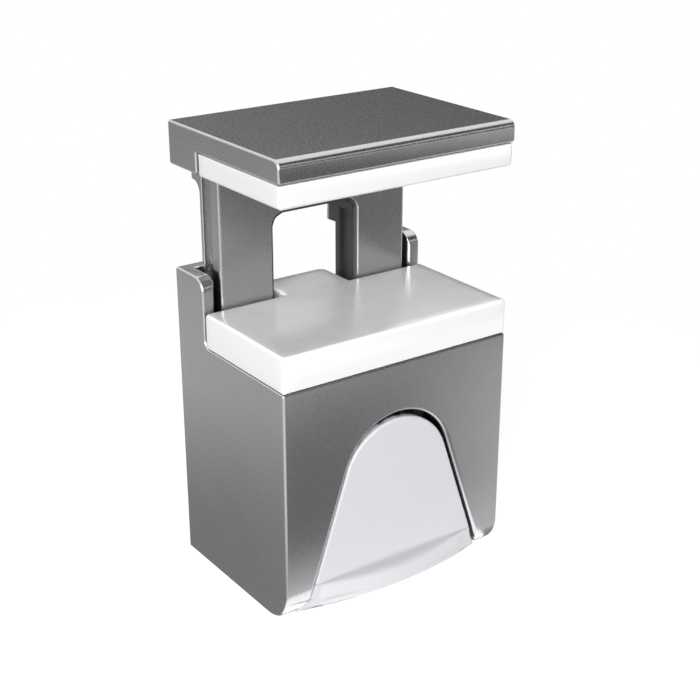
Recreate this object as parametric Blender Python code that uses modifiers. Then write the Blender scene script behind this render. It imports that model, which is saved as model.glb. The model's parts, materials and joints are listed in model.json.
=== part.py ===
"""Clamping shelf support: a wall block whose sprung upper jaw grips a shelf between two soft pads.

The jaw slides on two arms. Cams on the front lever jam against the arms, and pulling the lever frees them.
Lengths are in metres. +X is right seen from the front, +Y points to the wall and +Z is up. Heights here are
over the underside, and WALL_FRAME puts the origin on the back of the wall plate.
"""

import math

import bmesh
import bpy
from mathutils import Matrix, Vector

MM = 0.001
SIDES = (("left", -1), ("right", 1))
ARC_STEP = math.radians(15)
FINE_STEP = math.radians(9)
ROUGH_STEP = math.radians(22)

# Housing
WIDTH = 50 * MM
DEPTH = 36.3 * MM
SEAT_HEIGHT = 46.5 * MM
TOWER_HEIGHT = 13.1 * MM
TOWER_DEPTH = 9.8 * MM
TOWER_ROUND = 2.6 * MM
SEAT_FILLET = 1.5 * MM
FRONT_ROUND = 6.6 * MM
EDGE = 0.45 * MM
SIDE_WALL = 2.75 * MM
FRONT_WALL = 2.5 * MM
FLOOR_WALL = 3.0 * MM
DECK_WALL = 2.8 * MM
BACK_WALL = 2.5 * MM
BACK_NOTCH = 11.8 * MM
SLOT_CHAMFER = 0.5 * MM
CAVITY_ROUND = 1.0 * MM

# Clearances
SEAT_GAP = 0.2 * MM
RUN_GAP = 0.3 * MM
AXLE_PLAY = 0.1 * MM
OVERCUT = 2 * MM
OVERLAP = 0.9 * MM

# Wall plate and its lock screws
MOUNT_HEIGHT = 24 * MM
PLATE_THICKNESS = 1.8 * MM
FLANGE_THICKNESS = 1.5 * MM
HOOK_REACH = 2.0 * MM
LOCK_FLANGE_REACH = 10 * MM
WALL_HOLE_SPREAD = 13 * MM
WALL_HOLE_RADIUS = 1.9 * MM
WALL_HEAD_RADIUS = 3.6 * MM
LOCK_SCREW_SPREAD = 15 * MM
LOCK_SCREW_DEPTH = 7.3 * MM
LOCK_SCREW_RADIUS = 2.0 * MM
LOCK_POINT_RADIUS = 1.4 * MM
LOCK_KEY_RADIUS = 1.15 * MM

# Pads
PAD_THICKNESS = 6.8 * MM
PAD_INSET = 0.1 * MM
PAD_EDGE = 0.8 * MM
TONGUE_HALF_WIDTH = 7.5 * MM
TONGUE_BACK = 1.1 * MM
TONGUE_ROUND = 1.8 * MM
PAD_PEG_RADIUS = 2.4 * MM
PAD_PEG_LENGTH = 2.2 * MM
PAD_PEG_SPREAD = 15 * MM
PAD_PEG_DEPTH = 23 * MM
UPPER_PAD_THICKNESS = 4.1 * MM

# Jaw and arms
SHELF_GAP = 25.55 * MM
JAW_OVERHANG = 0.15 * MM
JAW_THICKNESS = 4.05 * MM
JAW_BACK_GAP = 0.1 * MM
JAW_FRONT_ROUND = 1.4 * MM
JAW_BLOCK_DROP = 4.0 * MM
ARM_INNER = 9.25 * MM
ARM_SIDE_GAP = 1.25 * MM
ARM_BACK_GAP = 0.3 * MM
ARM_EDGE = 0.6 * MM
ARM_REACH = 23.7 * MM
GROOVE_WIDTH = 3.0 * MM
GROOVE_DEPTH = 1.0 * MM
GROOVE_FROM_FRONT = 2.7 * MM
WINDOW_DROP = 10.1 * MM
WINDOW_ROUND = 2.8 * MM
OUTER_HEAD_DROP = 3.6 * MM
INNER_HEAD_DROP = 16.4 * MM
HEAD_FILLET = 2.0 * MM

# Guides
LINER_THICKNESS = 0.75 * MM
LINER_WEB = 1.0 * MM
LINER_WEB_DROP = 13 * MM
GUIDE_BLOCK_HEIGHT = 5.3 * MM
GUIDE_BLOCK_LEAD = 1.2 * MM
GUIDE_SCREW_RADIUS = 1.25 * MM
GUIDE_SCREW_HEAD = 2.4 * MM
GUIDE_SCREW_LENGTH = 6.5 * MM

# Crossbar and closing springs
CROSSBAR_HEIGHT = 3.0 * MM
CROSSBAR_DEPTH = 6.0 * MM
CROSS_SCREW_RADIUS = 1.1 * MM
CROSS_SCREW_HEAD = 2.0 * MM
CROSS_SCREW_HEAD_LENGTH = 1.8 * MM
CROSS_SCREW_GRIP = 3.5 * MM
SPRING_SPREAD = 5.0 * MM
SPRING_LEAD = 0.8 * MM
SPRING_RADIUS = 2.3 * MM
SPRING_WIRE = 0.6 * MM
SPRING_TURNS = 9
SPRING_PEG_RADIUS = 1.7 * MM
SPRING_PEG_LENGTH = 3.0 * MM

# Lever and its cut-out
ARCH_DROP = 9.8 * MM
FLANK_MARGIN = 3.87 * MM
FLANK_LEAN = math.radians(18.8)
FLARE_HEIGHT = 3.2 * MM
FLARE_RADIUS = 5.0 * MM
FLARE_REACH = 1.5 * MM
CUTOUT_CHAMFER = 0.5 * MM
LEVER_GAP = 0.5 * MM
LEVER_TOP_GAP = 1.4 * MM
LEVER_RECESS = 0.8 * MM
LEVER_THICKNESS = 2.2 * MM
LEVER_EDGE = 0.4 * MM
LIP_CREASE = 6.2 * MM
LIP_CREASE_RISE = 0.8 * MM
LIP_FILLET = 2.2 * MM
LIP_END_FILLET = 0.3 * MM
LIP_FOOT = 1.6 * MM
LIP_FOOT_DROP = 0.8 * MM
LIP_REACH = 1.2 * MM
LIP_BOW = 3.9 * MM
LIP_BULGE = 0.5 * MM
LIP_BELLY = 0.45
LIP_THICKNESS = 2.2 * MM
LIP_UNDERCUT = 1.2 * MM
LIP_COLUMNS = 17
LIP_PIECES = 9
FILLET_PIECES = 4
CHEEK_THICKNESS = 2.5 * MM
CHEEK_FOOT_RISE = 2.8 * MM
CHEEK_SHOULDER_DROP = 12.7 * MM
CHEEK_NECK = 1.1 * MM
CHEEK_NECK_RISE = 2.7 * MM
CHEEK_ELBOW = 4.0 * MM
CHEEK_ELBOW_ROUND = 3.0 * MM
CHEEK_ROUND = 1.0 * MM
BRIDGE_SIZE = 2.4 * MM
RIB_HEIGHT = 1.5 * MM

# Axle, cams and the lever's spring
AXLE_DROP = 3.7 * MM
AXLE_DEPTH = 5.4 * MM
AXLE_RADIUS = 1.25 * MM
AXLE_HUB = 2.5 * MM
HUB_ROUND = 2.2 * MM
LUG_THICKNESS = 3.0 * MM
LUG_SIDE_GAP = 1.65 * MM
LUG_CAM_GAP = 1.8 * MM
CLIP_THICKNESS = 0.5 * MM
CLIP_RADIUS = 2.3 * MM
CLIP_NECK = 0.9 * MM
CLIP_MOUTH = math.radians(35)
CAM_THICKNESS = 5.0 * MM
CAM_NOSE_RADIUS = 1.8 * MM
CAM_NOSE_DROP = 3.1 * MM
CAM_SCREW_REACH = 7.6 * MM
CAM_SCREW_RADIUS = 1.1 * MM
CAM_SCREW_HEAD = 2.0 * MM
CAM_SCREW_HEAD_LENGTH = 1.4 * MM
LEVER_COIL_RADIUS = 2.1 * MM
LEVER_WIRE = 0.7 * MM
LEVER_COIL_TURNS = 5
LEVER_COIL_PITCH = 0.95 * MM
LEVER_COIL_START = math.radians(160)
LEVER_COIL_END = math.radians(-100)
LEVER_LEG_DROP = 1.2 * MM

# Display
FRAME_SIZE = 10 * MM

# Worked out from the sizes above
FRONT = -DEPTH
HALF = WIDTH / 2
SLOT_BACK = -BACK_WALL
TOWER_TOP = SEAT_HEIGHT + TOWER_HEIGHT
DECK_UNDER = SEAT_HEIGHT - DECK_WALL
CAVITY_HALF = HALF - SIDE_WALL
CAVITY_FRONT = FRONT + FRONT_WALL
ARCH_HEIGHT = SEAT_HEIGHT - ARCH_DROP
FLANK_HALF_WIDTH = HALF - FLANK_MARGIN
ARM_OUTER = CAVITY_HALF - ARM_SIDE_GAP
ARM_FOOT = DECK_UNDER - ARM_REACH
ARM_FRONT = -TOWER_DEPTH
ARM_BACK = -BACK_WALL - ARM_BACK_GAP
SLOT_FRONT = ARM_FRONT - RUN_GAP
PLATE_FRONT = -PLATE_THICKNESS
PAD_BOTTOM = SEAT_HEIGHT + SEAT_GAP
PAD_TOP = SEAT_HEIGHT + PAD_THICKNESS
PAD_BACK = ARM_FRONT - SEAT_GAP
UPPER_PAD_BOTTOM = PAD_TOP + SHELF_GAP
UPPER_PAD_TOP = UPPER_PAD_BOTTOM + UPPER_PAD_THICKNESS
JAW_UNDER = UPPER_PAD_TOP + SEAT_GAP
JAW_TOP = JAW_UNDER + JAW_THICKNESS
JAW_BLOCK_UNDER = JAW_UNDER - JAW_BLOCK_DROP
JAW_FRONT = FRONT - JAW_OVERHANG
WINDOW_TOP = JAW_BLOCK_UNDER - WINDOW_DROP
OUTER_HEAD_FOOT = JAW_BLOCK_UNDER - OUTER_HEAD_DROP
INNER_HEAD_FOOT = JAW_BLOCK_UNDER - INNER_HEAD_DROP
GROOVE_FRONT = ARM_FRONT + GROOVE_FROM_FRONT
GROOVE_BACK = GROOVE_FRONT + GROOVE_WIDTH
GROOVE_LINE = (GROOVE_FRONT + GROOVE_BACK) / 2
FLANGE_BOTTOM = FLOOR_WALL + SEAT_GAP
FLANGE_TOP = FLANGE_BOTTOM + FLANGE_THICKNESS
LINER_FOOT = FLANGE_TOP + RUN_GAP
GUIDE_TOP = DECK_UNDER - SEAT_GAP
GUIDE_BLOCK_FOOT = GUIDE_TOP - GUIDE_BLOCK_HEIGHT
CROSSBAR_MIDDLE = (ARM_FRONT + ARM_BACK) / 2
CROSSBAR_TOP = ARM_FOOT + CROSSBAR_HEIGHT
CROSS_SCREW_LINE = ARM_FOOT + CROSSBAR_HEIGHT / 2
CROSS_SCREW_SEAT = ARM_OUTER - GROOVE_DEPTH - CROSS_SCREW_HEAD_LENGTH - SEAT_GAP
SPRING_DEPTH = CROSSBAR_MIDDLE - SPRING_LEAD
AXLE_Y = FRONT + AXLE_DEPTH
AXLE_HEIGHT = DECK_UNDER - AXLE_DROP
LINER_WEB_TOP = AXLE_HEIGHT - LINER_WEB_DROP
LEVER_FACE = FRONT + LEVER_RECESS
LEVER_BACK = LEVER_FACE + LEVER_THICKNESS
LUG_OUTER = CAVITY_HALF - LUG_SIDE_GAP
LUG_INNER = LUG_OUTER - LUG_THICKNESS
CAM_OUTER = LUG_INNER - LUG_CAM_GAP
CAM_INNER = CAM_OUTER - CAM_THICKNESS
CHEEK_OUTER = CAM_INNER - RUN_GAP
CHEEK_INNER = CHEEK_OUTER - CHEEK_THICKNESS
CHEEK_FOOT = LIP_CREASE + CHEEK_FOOT_RISE
CHEEK_SHOULDER = AXLE_HEIGHT - CHEEK_SHOULDER_DROP
CAM_NOSE = Vector((ARM_FRONT - RUN_GAP - CAM_NOSE_RADIUS, AXLE_HEIGHT - CAM_NOSE_DROP))
CAM_SLOPE = CAM_NOSE_DROP / (CAM_NOSE.x - AXLE_Y)
CAM_SCREW = Vector((AXLE_Y + CAM_SCREW_REACH, AXLE_HEIGHT - CAM_SCREW_REACH * CAM_SLOPE))


# Scene, materials and collections

def clear_scene():
    for thing in list(bpy.data.objects):
        bpy.data.objects.remove(thing)


def new_material(name, colour, metallic, roughness):
    material = bpy.data.materials.new(name)
    material.use_nodes = True
    shader = material.node_tree.nodes["Principled BSDF"]
    shader.inputs["Base Color"].default_value = (*colour, 1)
    shader.inputs["Metallic"].default_value = metallic
    shader.inputs["Roughness"].default_value = roughness
    return material


def new_collection(name):
    collection = bpy.data.collections.new(name)
    bpy.context.scene.collection.children.link(collection)
    return collection


def new_frame(name, location, parent=None):
    """An empty that a body's pieces hang on, so that the body turns or slides about it."""
    frame = bpy.data.objects.new(name, None)
    frame.empty_display_size = FRAME_SIZE
    frame.location = location
    frame.parent = parent
    PARTS.objects.link(frame)
    return frame


clear_scene()
PARTS = new_collection("shelf_support")
CUTTERS = new_collection("cutters")
WALL_FRAME = new_frame("wall_frame", (0, 0, -MOUNT_HEIGHT))
JAW_FRAME = new_frame("jaw_frame", (0, ARM_FRONT, JAW_BLOCK_UNDER), WALL_FRAME)
LEVER_FRAME = new_frame("lever_frame", (0, AXLE_Y, AXLE_HEIGHT), WALL_FRAME)

CAST_METAL = new_material("satin_cast_metal", (0.30, 0.30, 0.31), 0.9, 0.35)
STEEL = new_material("zinc_plated_steel", (0.55, 0.56, 0.58), 1.0, 0.3)
SPRING_STEEL = new_material("spring_steel", (0.35, 0.35, 0.36), 1.0, 0.35)
SOFT_PAD = new_material("white_soft_pad", (0.85, 0.85, 0.84), 0.0, 0.6)
LEVER_PLASTIC = new_material("pale_lever_plastic", (0.78, 0.79, 0.81), 0.0, 0.4)
GUIDE_PLASTIC = new_material("black_guide_plastic", (0.03, 0.03, 0.03), 0.0, 0.45)


# Modelling helpers

def add_piece(name, mesh, material=None):
    """A piece with its material, or a hidden cutter where it has none."""
    piece = bpy.data.objects.new(name, mesh)
    piece.parent = WALL_FRAME
    if material:
        mesh.materials.append(material)
        PARTS.objects.link(piece)
    else:
        piece.display_type = "WIRE"
        piece.hide_render = True
        CUTTERS.objects.link(piece)
    return piece


def ride_on(frame, *pieces):
    """Hangs pieces on a moving frame, in place."""
    for piece in pieces:
        piece.parent = frame
        piece.matrix_parent_inverse = Matrix.Translation(-frame.location)


def mesh_from(shape, name):
    bmesh.ops.remove_doubles(shape, verts=shape.verts, dist=1e-6)
    bmesh.ops.dissolve_limit(shape, angle_limit=math.radians(0.2), verts=shape.verts, edges=shape.edges)
    bmesh.ops.recalc_face_normals(shape, faces=shape.faces)
    mesh = bpy.data.meshes.new(name)
    shape.to_mesh(mesh)
    shape.free()
    return mesh


def block(name, low, high, material=None):
    """A box between two corners."""
    low, high = Vector(low), Vector(high)
    size = high - low
    place = Matrix.Translation((low + high) / 2) @ Matrix.Diagonal((*size, 1))
    shape = bmesh.new()
    bmesh.ops.create_cube(shape, size=1, matrix=place)
    return add_piece(name, mesh_from(shape, name), material)


def span(sign, near, far):
    """Two distances from the middle, as a low and a high place on that side."""
    return sorted((sign * near, sign * far))


def along(axis, start):
    """The placement that lays local Z along an axis, from a start point."""
    turn = {"X": Matrix.Rotation(math.pi / 2, 4, "Y"), "Y": Matrix.Rotation(-math.pi / 2, 4, "X")}
    return Matrix.Translation(start) @ turn.get(axis, Matrix.Identity(4))


def rod(name, axis, start, length, radius, end_radius=None, sides=24, material=None):
    """A cylinder or cone from a start point along an axis."""
    middle = Matrix.Translation((0, 0, length / 2))
    shape = bmesh.new()
    bmesh.ops.create_cone(
        shape, cap_ends=True, segments=sides, depth=abs(length), matrix=along(axis, start) @ middle,
        radius1=radius, radius2=radius if end_radius is None else end_radius,
    )
    return add_piece(name, mesh_from(shape, name), material)


def rounded(corners, step=ARC_STEP):
    """An outline through corners (u, v, radius), each radius drawn as an arc."""
    points = []
    for number, corner in enumerate(corners):
        here, radius = Vector(corner[:2]), corner[2]
        if not radius:
            points.append(here)
            continue
        back = (Vector(corners[number - 1][:2]) - here).normalized()
        ahead = (Vector(corners[(number + 1) % len(corners)][:2]) - here).normalized()
        half = back.angle(ahead) / 2
        centre = here + (back + ahead).normalized() * radius / math.sin(half)
        start = here + back * radius / math.tan(half) - centre
        end = here + ahead * radius / math.tan(half) - centre
        pieces = max(2, round((math.pi - 2 * half) / step))
        points += [centre + radius * start.slerp(end, k / pieces) for k in range(pieces + 1)]
    return points


def arc(centre, radius, first, last, pieces):
    """Points on a circle between two angles."""
    turns = (first + (last - first) * k / pieces for k in range(pieces + 1))
    return [Vector(centre) + radius * Vector((math.cos(turn), math.sin(turn))) for turn in turns]


def link_outline(centre, radius, end, end_radius):
    """The outline of a tapered link: two circles and the lines that touch both."""
    centre, end = Vector(centre), Vector(end)
    heading = math.atan2(end.y - centre.y, end.x - centre.x)
    lean = math.acos((radius - end_radius) / (end - centre).length)
    big = arc(centre, radius, heading + lean, heading + 2 * math.pi - lean, 14)
    small = arc(end, end_radius, heading - lean, heading + lean, 8)
    return big + small


PLANES = {
    "X": Matrix(((0, 0, 1), (1, 0, 0), (0, 1, 0))).to_4x4(),
    "Y": Matrix(((1, 0, 0), (0, 0, -1), (0, 1, 0))).to_4x4(),
    "Z": Matrix.Identity(4),
}


def prism(name, axis, outline, low, high, material=None):
    """A flat outline extruded along an axis: (y, z) along X, (x, z) along Y or (x, y) along Z."""
    curve = bpy.data.curves.new(name, "CURVE")
    curve.dimensions = "2D"
    curve.fill_mode = "BOTH"
    curve.extrude = (high - low) / 2
    line = curve.splines.new("POLY")
    line.points.add(len(outline) - 1)
    for point, place in zip(line.points, outline):
        point.co = (place[0], place[1], 0, 1)
    line.use_cyclic_u = True
    middle = Matrix.Translation((0, 0, (low + high) / 2 * (-1 if axis == "Y" else 1)))
    return solid_from_curve(name, curve, PLANES[axis] @ middle, material)


def solid_from_curve(name, curve, place, material=None):
    """Turns a curve into a closed mesh, and its loose caps are welded to its sides."""
    guide = bpy.data.objects.new(name + "_guide", curve)
    bpy.context.scene.collection.objects.link(guide)
    bpy.context.view_layer.update()
    mesh = bpy.data.meshes.new_from_object(guide.evaluated_get(bpy.context.evaluated_depsgraph_get()))
    bpy.data.objects.remove(guide)
    bpy.data.curves.remove(curve)
    shape = bmesh.new()
    shape.from_mesh(mesh)
    bpy.data.meshes.remove(mesh)
    shape.transform(place)
    return add_piece(name, mesh_from(shape, name), material)


def wire(name, points, thickness, material):
    """A round wire along points."""
    curve = bpy.data.curves.new(name, "CURVE")
    curve.dimensions = "3D"
    curve.bevel_depth = thickness / 2
    curve.bevel_resolution = 1
    curve.use_fill_caps = True
    line = curve.splines.new("POLY")
    line.points.add(len(points) - 1)
    for point, place in zip(line.points, points):
        point.co = (*place, 1)
    piece = bpy.data.objects.new(name, curve)
    curve.materials.append(material)
    piece.parent = WALL_FRAME
    PARTS.objects.link(piece)
    return piece


def turned(name, axis, start, profile, material=None, sides=24):
    """A turned piece: (radius, distance) points down its outer side, spun about an axis."""
    mesh = bpy.data.meshes.new(name)
    points = [(radius, 0, distance) for radius, distance in profile]
    mesh.from_pydata(points, [(k, k + 1) for k in range(len(points) - 1)], [])
    piece = add_piece(name, mesh, material)
    piece.matrix_local = along(axis, start)
    spin = piece.modifiers.new("spin", "SCREW")
    spin.steps = spin.render_steps = sides
    spin.use_merge_vertices = True
    spin.merge_threshold = 1e-6
    spin.use_smooth_shade = True
    return piece


def boolean(piece, operation, *others):
    for other in others:
        change = piece.modifiers.new(operation.lower() + "_" + other.name, "BOOLEAN")
        change.operation = operation
        change.object = other


def cut(piece, *cutters):
    boolean(piece, "DIFFERENCE", *cutters)


def join(piece, *others):
    boolean(piece, "UNION", *others)


def soften(piece, width, segments=2, angle=math.radians(50)):
    """Rounds the sharp edges."""
    bevel = piece.modifiers.new("soften", "BEVEL")
    bevel.width = width
    bevel.segments = segments
    bevel.angle_limit = angle
    bevel.use_clamp_overlap = False


def smooth(*pieces):
    for piece in pieces:
        piece.data.shade_smooth()
        piece.data.set_sharp_from_angle(angle=math.radians(30))


# Housing

def cutout_outline(gap, top_gap):
    """The lever's arched outline, set in by one gap at its flanks and by another at its top."""
    lean = math.tan(FLANK_LEAN)
    apex = ARCH_HEIGHT - top_gap
    foot = FLANK_HALF_WIDTH - gap / math.cos(FLANK_LEAN)
    radius = (foot - lean * apex) * math.cos(FLANK_LEAN) / (1 - math.sin(FLANK_LEAN))
    top = arc((0, apex - radius), radius, FLANK_LEAN, math.pi - FLANK_LEAN, 22)
    bend = foot - lean * FLARE_HEIGHT
    left = rounded([
        (-foot - FLARE_REACH - OVERCUT, -OVERCUT, 0), (-foot - FLARE_REACH, 0, 0),
        (-bend, FLARE_HEIGHT, FLARE_RADIUS), (-bend + lean * FLARE_HEIGHT, 2 * FLARE_HEIGHT, 0),
    ], FINE_STEP)[:-1]
    right = [Vector((-point.x, point.y)) for point in left]
    return right + top + left[::-1]


def add_housing():
    profile = rounded([
        (FRONT, 0, FRONT_ROUND), (0, 0, 0), (0, TOWER_TOP, 0), (ARM_FRONT, TOWER_TOP, TOWER_ROUND),
        (ARM_FRONT, SEAT_HEIGHT, SEAT_FILLET), (FRONT, SEAT_HEIGHT, 0),
    ], FINE_STEP)
    housing = prism("housing", "X", profile, -HALF, HALF, CAST_METAL)
    soften(housing, EDGE)

    # The bay between the towers, chamfered at its front edges, and the notch in the back between the arms
    bay_mouth = CAVITY_HALF + SLOT_CHAMFER + OVERCUT
    arm_bay = prism("arm_bay_cutter", "Z", [
        (-bay_mouth, ARM_FRONT - OVERCUT), (bay_mouth, ARM_FRONT - OVERCUT),
        (CAVITY_HALF, ARM_FRONT + SLOT_CHAMFER), (CAVITY_HALF, SLOT_BACK),
        (-CAVITY_HALF, SLOT_BACK), (-CAVITY_HALF, ARM_FRONT + SLOT_CHAMFER),
    ], SEAT_HEIGHT, TOWER_TOP + OVERCUT)
    back_notch = block("back_notch_cutter", (-BACK_NOTCH, ARM_FRONT, SEAT_HEIGHT),
                       (BACK_NOTCH, OVERCUT, TOWER_TOP + OVERCUT))
    cut(housing, arm_bay, back_notch)

    # The cavity is open to the wall, and the arms pass the deck through two slots
    cavity = prism("cavity_cutter", "X", rounded([
        (CAVITY_FRONT, FLOOR_WALL, FRONT_ROUND - FRONT_WALL), (OVERCUT, FLOOR_WALL, 0),
        (OVERCUT, DECK_UNDER, 0), (CAVITY_FRONT, DECK_UNDER, CAVITY_ROUND),
    ]), -CAVITY_HALF, CAVITY_HALF)
    cut(housing, cavity)
    for side, sign in SIDES:
        slot = block(f"arm_slot_cutter_{side}",
                     (sign * (ARM_INNER - RUN_GAP), SLOT_FRONT, DECK_UNDER - OVERCUT),
                     (sign * CAVITY_HALF, SLOT_BACK, SEAT_HEIGHT + OVERCUT))
        peg_foot = (sign * PAD_PEG_SPREAD, -PAD_PEG_DEPTH, SEAT_HEIGHT - PAD_PEG_LENGTH)
        peg_hole = rod(f"lower_peg_cutter_{side}", "Z", peg_foot, PAD_PEG_LENGTH + OVERCUT,
                       PAD_PEG_RADIUS + SEAT_GAP)
        lock_foot = (sign * LOCK_SCREW_SPREAD, -LOCK_SCREW_DEPTH, -OVERCUT)
        lock_hole = rod(f"lock_hole_cutter_{side}", "Z", lock_foot, FLOOR_WALL + 2 * OVERCUT,
                        LOCK_SCREW_RADIUS + AXLE_PLAY)
        cut(housing, slot, peg_hole, lock_hole)

    # Screw hole for the guide block, countersunk under the pad's tongue
    shank = GUIDE_SCREW_RADIUS + SEAT_GAP
    sink_rise = GUIDE_SCREW_HEAD - GUIDE_SCREW_RADIUS
    hole = rod("guide_screw_cutter", "Z", (0, SPRING_DEPTH, DECK_UNDER - OVERCUT),
               DECK_WALL + 2 * OVERCUT, shank)
    sink = rod("guide_head_cutter", "Z", (0, SPRING_DEPTH, SEAT_HEIGHT - sink_rise), sink_rise + OVERCUT,
               shank, shank + sink_rise + OVERCUT)
    cut(housing, hole, sink)

    # The lever's cut-out, with its chamfered rim
    opening = prism("cutout_cutter", "Y", cutout_outline(0, 0), FRONT - OVERCUT, FRONT + FRONT_ROUND)
    rim = prism("cutout_rim_cutter", "Y", cutout_outline(-CUTOUT_CHAMFER, -CUTOUT_CHAMFER),
                FRONT - OVERCUT, FRONT + CUTOUT_CHAMFER)
    soften(rim, CUTOUT_CHAMFER, segments=1)
    cut(housing, opening, rim)

    # Lugs under the deck that carry the axle
    for side, sign in SIDES:
        lug = prism(f"axle_lug_{side}", "X", rounded([
            (CAVITY_FRONT - EDGE, DECK_UNDER + EDGE, 0), (CAVITY_FRONT - EDGE, AXLE_HEIGHT - AXLE_HUB, 0),
            (AXLE_Y + AXLE_HUB, AXLE_HEIGHT - AXLE_HUB, HUB_ROUND),
            (AXLE_Y + AXLE_HUB, DECK_UNDER + EDGE, 0),
        ]), *span(sign, LUG_INNER, LUG_OUTER))
        join(housing, lug)
    bore_start = (-LUG_OUTER - EDGE, AXLE_Y, AXLE_HEIGHT)
    cut(housing, rod("axle_bore_cutter", "X", bore_start, 2 * (LUG_OUTER + EDGE), AXLE_RADIUS + AXLE_PLAY))
    smooth(housing)


def add_wall_plate():
    hook_front = PLATE_FRONT - HOOK_REACH
    flange_front = PLATE_FRONT - LOCK_FLANGE_REACH
    profile = rounded([
        (0, FLANGE_BOTTOM, FLANGE_THICKNESS), (0, GUIDE_TOP, FLANGE_THICKNESS),
        (hook_front, GUIDE_TOP, 0), (hook_front, GUIDE_TOP - FLANGE_THICKNESS, 0),
        (PLATE_FRONT, GUIDE_TOP - FLANGE_THICKNESS, 0), (PLATE_FRONT, FLANGE_TOP, 0),
        (flange_front, FLANGE_TOP, 0), (flange_front, FLANGE_BOTTOM, 0),
    ])
    half = CAVITY_HALF - SEAT_GAP
    plate = prism("wall_plate", "X", profile, -half, half, STEEL)
    for side, sign in SIDES:
        # The hook is only as wide as the gap between the arms
        beside = block(f"hook_side_cutter_{side}",
                       (sign * (ARM_INNER - GROOVE_DEPTH), hook_front - OVERCUT, GUIDE_BLOCK_FOOT),
                       (sign * (half + OVERCUT), PLATE_FRONT, GUIDE_TOP + OVERCUT))
        hole_start = (sign * WALL_HOLE_SPREAD, PLATE_FRONT - OVERCUT, MOUNT_HEIGHT)
        hole = rod(f"wall_hole_cutter_{side}", "Y", hole_start, PLATE_THICKNESS + 2 * OVERCUT,
                   WALL_HOLE_RADIUS)
        sink_length = OVERCUT + WALL_HEAD_RADIUS - WALL_HOLE_RADIUS
        sink = rod(f"wall_sink_cutter_{side}", "Y", hole_start, sink_length, WALL_HEAD_RADIUS + OVERCUT,
                   WALL_HOLE_RADIUS)
        point_foot = (sign * LOCK_SCREW_SPREAD, -LOCK_SCREW_DEPTH, 0)
        point = rod(f"lock_point_cutter_{side}", "Z", point_foot, FLANGE_TOP + OVERCUT,
                    LOCK_POINT_RADIUS + SEAT_GAP)
        cut(plate, beside, hole, sink, point)
    smooth(plate)


def add_lock_screws():
    shoulder = FLOOR_WALL - EDGE
    tip = FLANGE_TOP - EDGE
    for side, sign in SIDES:
        x = sign * LOCK_SCREW_SPREAD
        screw = turned(f"lock_screw_{side}", "Z", (x, -LOCK_SCREW_DEPTH, EDGE), [
            (0, tip), (LOCK_POINT_RADIUS - EDGE, tip), (LOCK_POINT_RADIUS, tip - EDGE),
            (LOCK_POINT_RADIUS, shoulder), (LOCK_SCREW_RADIUS, shoulder),
            (LOCK_SCREW_RADIUS, EDGE / 2), (LOCK_SCREW_RADIUS - EDGE / 2, 0), (0, 0),
        ], STEEL)
        key = rod(f"lock_key_cutter_{side}", "Z", (x, -LOCK_SCREW_DEPTH, EDGE - OVERCUT),
                  OVERCUT + shoulder / 2, LOCK_KEY_RADIUS, sides=6)
        cut(screw, key)


# Pads

def add_lower_pad():
    half = HALF - PAD_INSET
    # Its rear lower edge follows the fillet in front of the towers
    pad = prism("lower_pad", "X", rounded([
        (FRONT, PAD_BOTTOM, 0), (PAD_BACK, PAD_BOTTOM, SEAT_FILLET + SEAT_GAP),
        (PAD_BACK, PAD_TOP, 0), (FRONT, PAD_TOP, 0),
    ]), -half, half, SOFT_PAD)
    soften(pad, PAD_EDGE, segments=3)
    tongue_root = PAD_BACK - 2 * SEAT_FILLET
    tongue = prism("pad_tongue", "Z", rounded([
        (TONGUE_HALF_WIDTH, tongue_root, 0), (TONGUE_HALF_WIDTH, -TONGUE_BACK, TONGUE_ROUND),
        (-TONGUE_HALF_WIDTH, -TONGUE_BACK, TONGUE_ROUND), (-TONGUE_HALF_WIDTH, tongue_root, 0),
    ], ROUGH_STEP), PAD_BOTTOM, PAD_TOP)
    soften(tongue, PAD_EDGE, segments=3)
    join(pad, tongue)
    for side, sign in SIDES:
        peg_top = (sign * PAD_PEG_SPREAD, -PAD_PEG_DEPTH, PAD_BOTTOM + EDGE)
        join(pad, rod(f"lower_pad_peg_{side}", "Z", peg_top, -PAD_PEG_LENGTH - EDGE, PAD_PEG_RADIUS))
    smooth(pad)


def add_upper_pad():
    half = HALF - PAD_INSET
    pad = prism("upper_pad", "X", rounded([
        (FRONT, UPPER_PAD_BOTTOM, 0), (PAD_BACK, UPPER_PAD_BOTTOM, 0),
        (PAD_BACK, UPPER_PAD_TOP, 0), (FRONT, UPPER_PAD_TOP, 0),
    ]), -half, half, SOFT_PAD)
    soften(pad, PAD_EDGE, segments=3)
    for side, sign in SIDES:
        peg_foot = (sign * PAD_PEG_SPREAD, -PAD_PEG_DEPTH, UPPER_PAD_TOP - EDGE)
        join(pad, rod(f"upper_pad_peg_{side}", "Z", peg_foot, PAD_PEG_LENGTH + EDGE, PAD_PEG_RADIUS))
    smooth(pad)
    ride_on(JAW_FRAME, pad)


# Jaw, arms and what the arms carry

def window_outline(rim):
    """The window between the arms, wider all round by its rim."""
    half = ARM_INNER + rim
    return rounded([
        (-half, ARM_FOOT - OVERCUT, 0), (half, ARM_FOOT - OVERCUT, 0),
        (half, WINDOW_TOP + rim, WINDOW_ROUND), (-half, WINDOW_TOP + rim, WINDOW_ROUND),
    ])


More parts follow.
